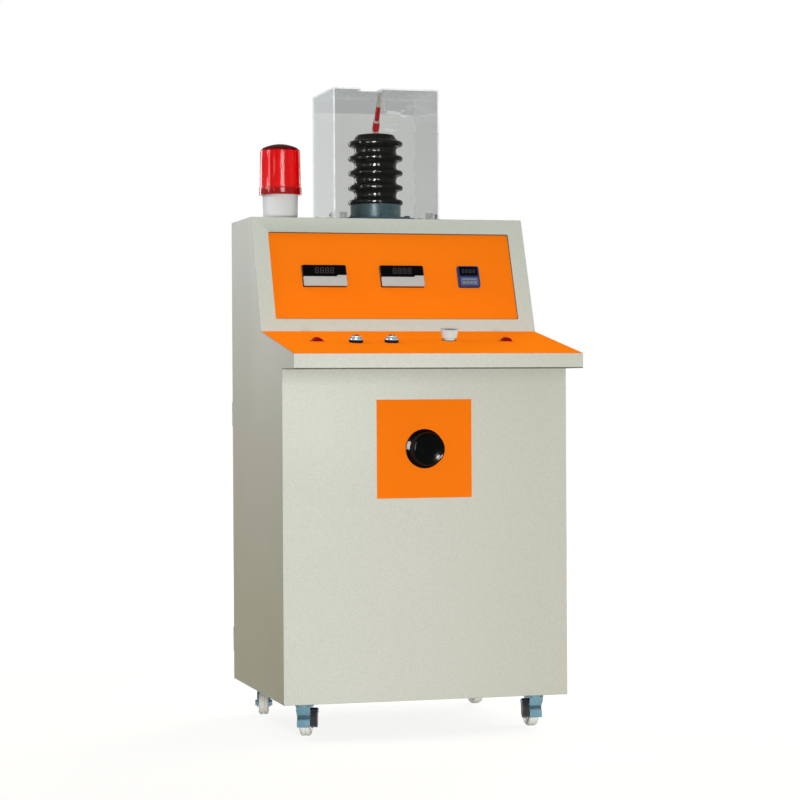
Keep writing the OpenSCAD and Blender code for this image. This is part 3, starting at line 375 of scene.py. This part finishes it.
def lip_painted_shade(g, colour):
    """The desk sheet's paint: painted shade darker to the right, and a painted shadow line along the lip's
    lower edge.
    """
    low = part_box("desk_sheet")[0]
    # Painted shade: darker to the right, and a painted shadow line along the lip's lower edge
    colour = g.mix(g.span(g.axis(0), -0.05, 0.26), colour, linear((199, 199, 184)))
    return g.mix(g.below(g.axis(2), low.z + 0.0019), colour, linear((74, 74, 62)))


def darker_cap_top(g, colour):
    """Darker grey-green on the recessed top of the mushroom cap."""
    low = g.below(g.height(DESK_AT, DESK_TURN), 0.0238)
    top = g.above(g.facing(plane_out(DESK_TURN)), 0.9)
    return g.mix(g.both(low, top), colour, linear((88, 118, 122)))


def timer_pad(g, colour):
    """The same slot's lower cover is pale on the meters and blue-grey on the timer."""
    return g.mix(g.above(g.axis(0), 0.12), colour, linear((80, 92, 108)))


def dull_wall(g, roughness):
    """The knob's grip is duller round its wall than on its face."""
    wall = g.span(g.facing(Vector((0, -1, 0))), 0.35, 0.12)
    return g.either(roughness, g.both(wall, 0.65))


def clear_sheet():
    """Cast clear sheet: faint grey body, mirror gloss, and cut edges, scuffs and a patch that glow with
    painted light.
    """
    g = Graph(bpy.data.materials.new("clear_plastic"))
    low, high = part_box("clear_cover")
    rear = g.above(g.axis(1), high.y - SKIN)
    band = g.both(rear, g.above(g.axis(2), high.z - BAND_TALL))
    body = g.mix(g.noise(5, 3), (0.816, 0.82, 0.812, 1), (0.866, 0.87, 0.862, 1))
    clear = g.shader("ShaderNodeBsdfTransparent", g.mix(band, body, (0.735, 0.742, 0.746, 1)))
    gloss = g.add("ShaderNodeBsdfGlossy")
    g.set(gloss.inputs["Color"], linear((240, 244, 246)))
    g.set(gloss.inputs["Roughness"], g.span(g.noise(40, 3), *MIDDLE, 0.02, 0.08))
    g.set(gloss.inputs["Normal"], g.bump(g.noise(7, 2), 0.15, 0.002))
    slant = g.add("ShaderNodeLayerWeight")
    slant.inputs["Blend"].default_value = 0.5
    mirror = g.span(g.math("POWER", slant.outputs["Facing"], 5.0), 0, 1, 0.004, 1.0)
    sheet = g.shader("ShaderNodeMixShader", mirror, clear, gloss.outputs[0])

    # The cut edges and the scuffs glow with painted light, and a patch of the rear sheet holds painted glints
    sawn = g.mix(g.noise(60, 3), linear((176, 181, 184)), linear((204, 208, 210)))
    cut = g.shader("ShaderNodeAddShader", g.shader("ShaderNodeBsdfDiffuse", sawn),
                   g.shader("ShaderNodeEmission", (0.97, 0.99, 1.0, 1), 0.5))
    scuffs = g.span(g.noise(55, 5, 0.7, (1, 1, 0.3)), 0.66, 0.82, 0.0, 0.15)
    # A patch of painted glints at the rear sheet's upper right
    glint_patch = g.both(rear, g.both(g.above(g.axis(0), GLINT_PATCH_FROM_X), g.above(g.axis(2), high.z - GLINT_PATCH_TALL)))
    painted_glints = g.span(g.noise(60, 3, 0.5, (0.5, 1, 1.6)), 0.54, 0.62, 0.0, 0.8)
    scuffs_and_glints = g.either(scuffs, g.both(glint_patch, painted_glints))
    side, face, top = (g.above(g.axis(k), high[k] - SEAM) for k in range(3))
    side, face = (g.either(g.below(g.axis(k), low[k] + SEAM), far) for k, far in ((0, side), (1, face)))
    seams = g.either(g.both(side, face), g.both(top, g.either(side, face)))
    share = g.math("ADD", scuffs_and_glints, g.both(seams, g.span(g.noise(30, 3), *MIDDLE, 0.4, 0.9)), True)
    g.set(g.end, g.shader("ShaderNodeMixShader", share, sheet, cut))
    return g.owner


def red_lens():
    """Red moulded lens: deep colour, a dark dome, and soft light and dark streaks painted into its colour as
    its flutes' highlights.
    """
    g = Graph(bpy.data.materials.new("lens_red"))
    low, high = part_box("beacon_lens")
    # Painted highlights: vertical streaks of lighter and darker red
    streaks = g.noise(1.0, 2, 0.5, (150, 150, 1.5))
    body = g.mix(g.span(streaks, *CORE), linear((206, 0, 0)), linear((234, 6, 8)))
    dome = g.span(g.axis(2), high.z - 0.0165, high.z - 0.0125)
    foot = g.span(g.axis(2), low.z + 0.0175, low.z + 0.0115)
    body = g.mix(foot, body, linear((160, 0, 2)))
    side_gloss = g.span(g.axis(2), low.z + 0.01, high.z - 0.015, 0.11, 0.06)
    bsdf = g.add("ShaderNodeBsdfPrincipled")
    for key, value in (("Base Color", g.mix(dome, body, linear((84, 0, 4)))),
                       ("Roughness", g.span(g.noise(60, 3), *MIDDLE, 0.08, 0.13)),
                       ("Normal", g.bump(g.noise(30, 2), 0.012, 0.001, g.bevel(0.0008))),
                       ("Specular IOR Level", g.both(side_gloss, g.math("SUBTRACT", 1.0, dome))),
                       ("Transmission Weight", 0.12), ("IOR", 1.49), ("Subsurface Weight", 0.25),
                       ("Subsurface Radius", (0.02, 0.002, 0.002))):
        g.set(bsdf.inputs[key], value)
    g.set(g.end, bsdf.outputs[0])
    return g.owner


# Finishes, one for each slot of the record
LOOKS = {
    "cabinet_paint": cabinet_paint("cabinet_paint"),
    "panel_paint": orange_paint("panel_paint", (255, 128, 18)),
    "clear_plastic": clear_sheet(),
    "lens_red": red_lens(),
    "zinc": look("zinc", (116, 154, 170), 0.26, metal=0.75, mottle=0.12, mottle_scale=30, grain=700,
                 grain_bump=0.25, edge=((205, 212, 216), 0.7), bevel=0.0007),
    "bright_steel": look("bright_steel", (150, 156, 162), 0.10, metal=1.0, mottle=0.02, grain=1500,
                         grain_bump=0.03, rough_spread=0.03, bevel=0.0005),
    "screw_steel": look("screw_steel", (190, 192, 194), 0.3, metal=1.0, mottle=0.06, mottle_scale=60,
                        grain=1200, grain_bump=0.1, edge=((225, 226, 228), 0.6), bevel=0.0004),
    "black_plastic": look("black_plastic", (26, 26, 28), 0.38, mottle=0.1, mottle_scale=20, grain=1300,
                          grain_bump=0.2, edge=((70, 70, 72), 0.5)),
    "knob_plastic": look("knob_plastic", (7, 10, 9), 0.14, mottle=0.1, mottle_scale=25, grain=500,
                         grain_bump=0.04, rough_spread=0.05, specular=0.022, dull=dull_wall),
    "timer_plastic": look("timer_plastic", (24, 48, 104), 0.35, mottle_scale=40, grain=1200,
                          grain_bump=0.1, edge=((52, 92, 160), 0.5), bevel=0.0005, specular=0.25),
    "window_plastic": look("window_plastic", (3, 3, 4), 0.12, mottle=0.1, mottle_scale=60, grain=900,
                           grain_bump=0.03, rough_spread=0.04, bevel=0.0004, specular=0.03),
    "cover_plastic": look("cover_plastic", (186, 190, 184), 0.4, mottle=0.03, mottle_scale=50, grain=1300,
                          edge=((205, 205, 198), 0.5), bevel=0.0005, specular=0.3, tint=timer_pad),
    "rocker_plastic": look("rocker_plastic", (122, 6, 14), 0.22, mottle=0.08, mottle_scale=60, grain=900,
                           grain_bump=0.05, specular=0.2),
    "cap_plastic": look("cap_plastic", (215, 222, 218), 0.25, mottle=0.02, mottle_scale=40, grain=900,
                        grain_bump=0.05, coat=0.2),
    "tank_paint": look("tank_paint", (82, 108, 124), 0.35, mottle=0.06, mottle_scale=15, grain=800,
                       grain_bump=0.25, edge=((120, 140, 150), 0.5), bevel=0.001),
    "bushing_resin": look("bushing_resin", (22, 22, 19), 0.11, mottle=0.15, mottle_scale=25, grain=120,
                          grain_bump=0.05, rough_spread=0.03, bevel=0.0004, specular=0.07),
    "electrode_plastic": look("electrode_plastic", (226, 224, 214), 0.3, mottle=0.03, mottle_scale=40,
                              grain=900, grain_bump=0.08, bevel=0.0004),
    "sleeve_red": look("sleeve_red", (214, 24, 30), 0.35, mottle=0.06, mottle_scale=60, grain=900,
                       grain_bump=0.1, bevel=0.0004),
    "beacon_grey": look("beacon_grey", (206, 206, 203), 0.45, mottle=0.03, mottle_scale=20, grain=900,
                        bevel=0.0008),
    "lamp_white": look("lamp_white", (226, 222, 208), 0.3, mottle=0.04, mottle_scale=40, grain=900,
                       grain_bump=0.05),
    "core_iron": look("core_iron", (88, 90, 94), 0.45, metal=0.7, mottle=0.15, mottle_scale=20, grain=600,
                      grain_bump=0.3),
    "winding_copper": look("winding_copper", (190, 110, 62), 0.28, metal=0.9, mottle=0.12, mottle_scale=40,
                           grain=500, grain_bump=0.3),
    "gear_plastic": look("gear_plastic", (62, 64, 68), 0.42, mottle_scale=20, grain=1200,
                         grain_bump=0.2, edge=((110, 112, 116), 0.4)),
    "stud_brass": look("stud_brass", (212, 176, 92), 0.25, metal=1.0, mottle=0.06, mottle_scale=60,
                       grain=1200, grain_bump=0.1, bevel=0.0005),
    "wheel_plastic": look("wheel_plastic", (246, 245, 235), 0.42, mottle=0.04, mottle_scale=40, grain=700,
                          grain_bump=0.2, bevel=0.0007),
}
# Nodes whose own places call for more than their slot's finish
# Chrome of the buttons, with its reflection painted into the colour
PAINTED_REFLECTION_CHROME = look("button_chrome_painted_reflection", (170, 202, 214), 0.15, metal=0.6, mottle=0.02, grain=1500, grain_bump=0.03,
              rough_spread=0.03, bevel=0.0005, tint=chrome_painted_reflection)
GALVANIZED = look("galvanized", (176, 184, 188), 0.42, metal=0.55, mottle=0.03, mottle_scale=14, grain=900,
                  grain_bump=0.12, edge=((214, 218, 220), 0.5))
SPECIAL = {
    "door_hinges": GALVANIZED, "chassis": GALVANIZED, "regulator_frame": GALVANIZED,
    "button_bezels": PAINTED_REFLECTION_CHROME, "button_cap_left": PAINTED_REFLECTION_CHROME, "button_cap_right": PAINTED_REFLECTION_CHROME,
    "console_bezel": cabinet_paint("bezel_paint", recess_painted_shade, (200, 206, 194)),
    "side_panel_left": cabinet_paint("side_paint", side_painted_light_and_shade),
    "front_panel": cabinet_paint("front_paint", front_painted_light_and_shade),
    "desk_sheet": cabinet_paint("lip_paint", lip_painted_shade),
    "desk_plate": look("desk_paint", (252, 128, 18), 0.6, mottle=0.012, mottle_scale=4.0, grain=1100,
                       specular=0.0),
    "regulator_plate": orange_paint("regulator_paint", (250, 122, 17)),
    "switch_frames": look("switch_frame_plastic", (238, 112, 20), 0.5, mottle=0.03, mottle_scale=20,
                          grain=1300, bevel=0.0005, specular=0.05),
    "tank_lid": look("lid_paint", (74, 102, 108), 0.32, metal=0.2, mottle=0.08, mottle_scale=15, grain=800,
                     grain_bump=0.25, edge=((120, 140, 150), 0.5), bevel=0.001),
    "mushroom_cap": look("mushroom_plastic", (186, 214, 216), 0.3, mottle=0.02, mottle_scale=40, grain=900,
                         grain_bump=0.05, specular=0.2, tint=darker_cap_top),
}


def round_off(obj, angle=35):
    """Smooth shading across faces that meet at less than this angle."""
    obj.data.shade_smooth()
    obj.data.set_sharp_from_angle(angle=math.radians(angle))


def dress_nodes():
    """Gives each CAD node its own finish, or else its slot's."""
    for row in RECORD["subparts"]:
        node = NODES[row["node"]]
        node.data.materials.clear()
        node.data.materials.append(SPECIAL.get(row["node"]) or LOOKS[row["material_slot"]])
        round_off(node)


# Stage and light
def make_stage():
    """A pale floor that goes over into white, with the object's soft shadow on it."""
    bpy.ops.mesh.primitive_plane_add(size=FLOOR_SIZE, location=(0, 0, -0.0005))
    floor = bpy.context.active_object
    floor.name = "floor"
    g = Graph(bpy.data.materials.new("floor"))
    tone = [FLOOR_TONE * c for c in FLOOR_WARMTH]
    colour = g.mix(g.noise(3, 2), (*tone, 1), (*(t * 1.03 for t in tone), 1))
    away = g.add("ShaderNodeVectorMath", operation="LENGTH")
    g.set(away.inputs[0], g.coord)
    fade = g.span(away.outputs["Value"], *FLOOR_FADE, FLOOR_LIFT, 1.0)
    lift = g.shader("ShaderNodeEmission", WHITE, g.both(g.background_rays(), fade))
    g.set(g.end, g.shader("ShaderNodeAddShader", g.shader("ShaderNodeBsdfDiffuse", colour), lift))
    floor.data.materials.append(g.owner)


def make_world():
    """A faint warm light from all round, which shows as plain white behind the object."""
    world = bpy.data.worlds.new("studio")
    g = Graph(world, "ShaderNodeOutputWorld")
    light = g.shader("ShaderNodeBackground", (1.0, 0.98, 0.90, 1), WORLD_LIGHT)
    seen = g.shader("ShaderNodeBackground", WHITE, 1.0)
    g.set(g.end, g.shader("ShaderNodeMixShader", g.background_rays(), light, seen))
    bpy.context.scene.world = world


def lamp(name, at, target, size, power, colour=(1, 1, 1)):
    """A round soft lamp that faces its target; size in metres, power in watts."""
    data = bpy.data.lights.new(name, "AREA")
    data.shape = "DISK"
    data.size = size
    data.energy = power
    data.color = colour
    obj = bpy.data.objects.new(name, data)
    obj.location = at
    obj.rotation_mode = "QUATERNION"
    obj.rotation_quaternion = (Vector(target) - Vector(at)).to_track_quat("-Z", "Y")
    bpy.context.scene.collection.objects.link(obj)
    return obj


def make_lights():
    """The lamps that light the whole object."""
    key = lamp("key", (-0.6, -4.85, 0.4), (0, 0, 0.7), 0.8, 180, (0.985, 1.0, 1.03))
    key.visible_glossy = False
    shadowless = bpy.data.collections.new("no_key_shadow")
    for name in ("mushroom_cap", "button_cap_left", "button_cap_right", "button_bezels"):
        shadowless.objects.link(NODES[name])
    for row in shadowless.collection_objects:
        row.light_linking.link_state = "EXCLUDE"
    key.light_linking.blocker_collection = shadowless
    lamp("left", (-1.2, 0.15, 1.6), (-0.3, -0.1, 0.9), 0.4, 6.6, (0.95, 0.98, 1.06))
    for name, at, size, power in (("right", (3.4, 0.3, 1.5), 1.4, 60), ("back", (2.4, 3.6, 2.2), 2.0, 130)):
        lamp(name, at, (0, 0, 0.75), size, power).visible_glossy = False


def glint(name, node, things, turn, rise, size, power, away=GLINT_AWAY, diffuse=False):
    """A lamp for the gloss, or the colour, of a few things only.

    It stands off the node's middle: turn is from -Y towards +X and rise above level, in degrees.
    """
    low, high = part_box(node)
    target = (low + high) / 2
    a, e = math.radians(turn), math.radians(rise)
    at = target + away * Vector((math.sin(a) * math.cos(e), -math.cos(a) * math.cos(e), math.sin(e)))
    light = lamp(name, at, target, size[0], power)
    light.data.shape = "RECTANGLE"
    light.data.size_y = size[1]
    light.data.use_shadow = False
    light.visible_diffuse = diffuse
    light.visible_glossy = not diffuse
    group = bpy.data.collections.new(name)
    for obj in things:
        group.objects.link(obj)
    light.light_linking.receiver_collection = group


def make_glints(lens, shell):
    """The streaks and spots of light on glossy pieces, and a little fill on two dark ones."""
    knob, lid, desk = ([NODES[n]] for n in ("knob", "tank_lid", "desk_plate"))
    buttons = [NODES[n] for n in ("button_bezels", "button_cap_left", "button_cap_right")]
    forks = [NODES[n] for n in ("fork_front_left", "fork_front_right")]
    glint("knob_low", "knob", knob, 55, -23, (0.8, 0.25), 240, away=1.35)
    glint("knob_left", "knob", knob, -82, 14, (0.5, 1.2), 480)
    for name, turn, size, power in (
            ("main", -20.6, (0.45, 1.8), 820), ("second", 3.2, (0.3, 1.6), 170),
            ("third", -46.6, (0.25, 1.4), 120), ("fourth", -80.8, (0.3, 1.6), 120),
            ("left", -155.0, (0.4, 1.4), 24)):
        glint("bushing_" + name, "bushing", [shell], turn, 5.5, size, power)
    glint("lid_front", "tank_lid", lid, -20.6, 5.5, (0.5, 0.9), 22)
    for name, turn, rise, size, power in (
            ("main", 0.8, 8, (0.7, 1.8), 105), ("light", -78, 7, (0.35, 1.8), 26),
            ("faint", -46, 7, (0.3, 0.5), 3), ("left", -149, 6, (0.4, 1.6), 28),
            ("right", 126, 6, (0.5, 1.6), 14)):
        glint("lens_" + name, "beacon_lens", [lens], turn, rise, size, power)
    glint("lens_fill", "beacon_lens", [lens], 62, 10, (0.6, 0.6), 5, diffuse=True)
    glint("desk_fill", "desk_plate", desk, -10, 62, (0.8, 0.8), 18, diffuse=True)
    glint("buttons", "button_bezels", buttons, -15, 68, (0.6, 0.6), 40)
    glint("forks_low", "caster_plates", forks, -14, 12, (0.8, 0.25), 8)
    glint("forks_high", "caster_plates", forks, -14, 84, (0.8, 0.4), 10)


# Mesh helpers
def piece(name, bm, material, body, smooth=35):
    """Turns a bmesh into a piece that rides on a body."""
    bmesh.ops.recalc_face_normals(bm, faces=bm.faces)
    data = bpy.data.meshes.new(name)
    bm.to_mesh(data)
    bm.free()
    obj = bpy.data.objects.new(name, data)
    bpy.context.scene.collection.objects.link(obj)
    data.materials.append(material)
    round_off(obj, smooth)
    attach(obj, body)
    return obj


def prism(bm, outline, place, low, high):
    """Adds an outline, given in a plane, as a closed prism from low to high."""
    floor = [bm.verts.new(place(x, s, low)) for x, s in outline]
    roof = [bm.verts.new(place(x, s, high)) for x, s in outline]
    bm.faces.new(floor)
    bm.faces.new(roof)
    for k in range(len(outline)):
        j = (k + 1) % len(outline)
        bm.faces.new((floor[k], floor[j], roof[j], roof[k]))


def round_rect(cx, cy, w, h, r, steps=4):
    """Outline of a rectangle with round corners."""
    points = []
    for qx, qy, start in ((1, 1, 0), (-1, 1, 90), (-1, -1, 180), (1, -1, 270)):
        for k in range(steps + 1):
            a = math.radians(start + 90 * k / steps)
            points.append((cx + qx * (w / 2 - r) + r * math.cos(a), cy + qy * (h / 2 - r) + r * math.sin(a)))
    return points


def arc_points(r, z, reach, rise, angles):
    """Points (radius, height) on an ellipse about (r, z), at angles in degrees."""
    return [(r + reach * math.cos(math.radians(a)), z + rise * math.sin(math.radians(a))) for a in angles]


def revolve(bm, profile, at, steps, swell=None):
    """Adds a closed (radius, height) profile turned about Z; swell scales a point's radius by its angle."""
    rings = []
    for k in range(steps):
        a = 2 * math.pi * k / steps
        ring = []
        for n, (r, z) in enumerate(profile):
            r *= swell(n, a) if swell else 1.0
            ring.append(bm.verts.new((Vector((r * math.cos(a), r * math.sin(a), z)) + at) * MM))
        rings.append(ring)
    count = len(profile)
    for k in range(steps):
        a, b = rings[k], rings[(k + 1) % steps]
        for n in range(count):
            m = (n + 1) % count
            bm.faces.new((a[n], b[n], b[m], a[m]))


def segment_digit(bm, cx, cy, w, h, stroke, slant):
    """All seven bars of one unlit digit on the console's face."""
    gap = stroke * 0.18
    bars = []
    for y in (-h / 2, 0, h / 2):
        bars.append(((-w / 2, y), (w / 2, y)))
    for x in (-w / 2, w / 2):
        for y in (-h / 2, 0):
            bars.append(((x, y), (x, y + h / 2)))
    half = stroke / 2
    inset = gap + half
    for (x0, y0), (x1, y1) in bars:
        dx, dy = (1, 0) if y0 == y1 else (0, 1)
        a, b = (x0 + dx * inset, y0 + dy * inset), (x1 - dx * inset, y1 - dy * inset)
        px, py = dy * half, dx * half
        shape = [(a[0] - dx * half, a[1] - dy * half), (a[0] + px, a[1] - py), (b[0] + px, b[1] - py),
                 (b[0] + dx * half, b[1] + dy * half), (b[0] - px, b[1] + py), (a[0] - px, a[1] + py)]
        prism(bm, [(cx + x + y * slant, cy + y) for x, y in shape], on_slope, *DIGIT_N)


# Pieces that only the visual model has
def meter_faces():
    """Unlit digits in the windows, the steps of the meters' covers and the timer's keys."""
    bar = look("digit_bars", (46, 38, 38), 0.3, mottle_scale=80, grain=900, bevel=0.0001)
    for k, x in enumerate(METER_X):
        bm = bmesh.new()
        for d in range(DIGITS):
            segment_digit(bm, x - 16.5 + 11 * d, WINDOW_S + 0.5, 6.4, 12, 1.3, 0.10)
            prism(bm, round_rect(x - 12.2 + 11 * d, WINDOW_S - 6, 1.2, 1.2, 0.5, 2), on_slope, *DIGIT_N)
        piece("meter_digits_%d" % (k + 1), bm, bar, "cabinet")

    steps = bmesh.new()
    for x in METER_X:
        outline = [(x + 25, 124.9), (x + 47, 124.9), (x + 47, 127.9), (x + 27.5, 127.9)]
        prism(steps, outline, on_slope, FACE_N + 0.02, STEP_TOP_N)
    piece("meter_cover_steps", steps, LOOKS["cover_plastic"], "cabinet")

    bm = bmesh.new()
    for d in range(DIGITS):
        segment_digit(bm, TIMER_X - 12 + 8 * d, WINDOW_S + 1, 4.2, 8, 0.9, 0.08)
    piece("timer_digits", bm, look("timer_bars", (44, 50, 66), 0.3, grain=900, bevel=0.0001), "cabinet")

    film = look("key_film", (118, 128, 148), 0.4, mottle=0.03, mottle_scale=80, grain=1200, bevel=0.0003)
    keys = bmesh.new()
    key_foot = FACE_N + 0.15
    for d in range(DIGITS):
        key = round_rect(TIMER_X - 12.6 + 8.4 * d, PAD_S - 1.5, 6.6, 5.6, 1.2)
        prism(keys, key, on_slope, key_foot, FACE_N + 0.55)
    prism(keys, round_rect(TIMER_X, PAD_S + 6.2, 31.8, 3.4, 0.8), on_slope, key_foot, FACE_N + 0.4)
    piece("timer_keys", keys, film, "cabinet")


def fluted_lens():
    """The beacon's lens as a shell with ribs inside, in place of the plain one."""
    low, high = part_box("beacon_lens")
    middle = (low + high) / 2 / MM
    z0 = low.z / MM
    tall = (high.z - low.z) / MM
    r = (high.y - low.y) / 2 / MM
    outer = [(LENS_SEAT_R, 0), (r - 0.4, 0), (r, 0.5), (r, 15.4), (r - 0.4, 16), (r - 1.3, 16.6),
             (r - 1.5, 17.2), (r - 2.2, 60), (r - 2.9, tall - 17), (r - 3.5, tall - 14),
             (r - 5.2, tall - 11.8)]
    dome = [((r - 8) * t, tall - 9 * t * t) for t in (0.96, 0.85, 0.7, 0.5, 0.3, 0.1)]
    inner_dome = [((r - 10.5) * t, tall - 2.4 - 9 * t * t) for t in (0.1, 0.3, 0.5, 0.7, 0.85, 0.96)]
    inner = [(r - 7.2, tall - 14), (r - 5.4, tall - 17), (r - 4.8, 60), (r - 4.1, 18), (r - 3.4, 14),
             (r - 3.4, 2.4), (LENS_SEAT_R, 2.4)]
    profile = outer + dome + inner_dome + inner
    ribbed = {len(outer) + len(dome) + len(inner_dome) + k for k in (1, 2, 3)}

    def ribs(n, angle):
        return 1 - 0.022 * (0.5 + 0.5 * math.cos(32 * angle)) if n in ribbed else 1.0

    bm = bmesh.new()
    revolve(bm, profile, Vector((middle.x, middle.y, z0)), 192, ribs)
    lens = piece("lens_shell", bm, LOOKS["lens_red"], "cabinet", 50)
    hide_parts("beacon_lens")
    return lens


def ribbed_bushing():
    """The bushing with round rims on its sheds and hollow throats between them."""
    low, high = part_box("bushing")
    middle = (low + high) / 2 / MM
    foot, top = low.z / MM, high.z / MM
    root = (high.x - low.x) / 2 / MM - RIM_R
    throat = BUSHING_R - root
    half = SHED_PITCH / 2
    rings = []
    for k in range(SHEDS):
        z = FIRST_SHED_Z + SHED_PITCH * k
        rings += arc_points(root, z - half, throat, half - RIM_R, range(0, 90, 15))
        rings += arc_points(root, z, RIM_R, RIM_R, range(-80, 81, 16))
        rings += arc_points(root, z + half, throat, half - RIM_R, range(-75, 0, 15))
    rings = [p for p in rings if foot + 0.2 < p[1] < top - 2 * CROWN_R]
    crown = arc_points(BUSHING_R - CROWN_IN - CROWN_R, top - CROWN_R, CROWN_R, CROWN_R,
                       (0, 22.5, 45, 67.5, 90))
    profile = [(AXIS_R, foot), (rings[0][0], foot)] + rings + crown + [(AXIS_R, top)]
    bm = bmesh.new()
    revolve(bm, profile, Vector((middle.x, middle.y, 0)), 128)
    shell = piece("bushing_shell", bm, LOOKS["bushing_resin"], "cabinet")
    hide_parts("bushing")
    return shell


def fork_hoods():
    """The bent sheet that joins each fork's crown to the web in front of its wheel."""
    outline = [(-18.3, 63.1), (-14.6, 54.0), (-8.6, 44.5), (-7.6, 45.3), (-13.4, 54.4), (-17.0, 63.1)]
    low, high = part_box("caster_plates")
    inset = PLATE_W / 2 * MM
    for corner, turn in HOOD_TURNS.items():
        x = low.x + inset if "left" in corner else high.x - inset
        y = low.y + inset if "front" in corner else high.y - inset
        spin = Matrix.Translation((x, y, 0)) @ Matrix.Rotation(math.radians(turn), 4, "Z")
        bm = bmesh.new()
        prism(bm, outline, lambda s, z, across: spin @ (Vector((across, s, z)) * MM), -HOOD_HALF, HOOD_HALF)
        piece("hood_" + corner, bm, LOOKS["zinc"], "caster_" + corner)


def rear_screws():
    """Pan-head screws that hold the upper rear panel, with dark crossed bars on their heads as the slots'
    painted shade.
    """
    profile = [(AXIS_R, 0), (4.6, 0), (4.6, 0.5), (4.2, 1.3), (3.2, 2.0), (1.8, 2.4), (AXIS_R, 2.5)]
    bar = [(-SLOT_HALF, -SLOT_HALF_W), (SLOT_HALF, -SLOT_HALF_W), (SLOT_HALF, SLOT_HALF_W),
           (-SLOT_HALF, SLOT_HALF_W)]
    heads, slots = bmesh.new(), bmesh.new()
    for x in SCREW_X:
        for z in SCREW_Z:
            place = Matrix.Translation((x * MM, REAR_FACE * MM, z * MM))
            turn = place @ Matrix.Rotation(math.radians(-90), 4, "X")
            head = bmesh.new()
            revolve(head, profile, Vector((0, 0, 0)), 32)
            head.transform(turn)
            data = bpy.data.meshes.new("head")
            head.to_mesh(data)
            head.free()
            heads.from_mesh(data)
            angle = random.uniform(0, 90)
            for across in (0, 90):
                spin = turn @ Matrix.Rotation(math.radians(across + angle), 4, "Z")
                prism(slots, bar, lambda u, v, n: spin @ (Vector((u, v, n)) * MM), *SLOT_N)
    piece("rear_screws", heads, LOOKS["screw_steel"], "cabinet")
    # Painted shade: dark bars stand for the shade inside the slots
    dark = look("screw_slot_shade", (30, 30, 32), 0.5, grain=900, bevel=0.0001)
    piece("rear_screw_slot_shade", slots, dark, "cabinet")


make_camera()
make_world()
make_lights()
make_stage()
dress_nodes()
meter_faces()
fork_hoods()
rear_screws()
make_glints(fluted_lens(), ribbed_bushing())
bpy.context.scene.view_settings.view_transform = "Standard"
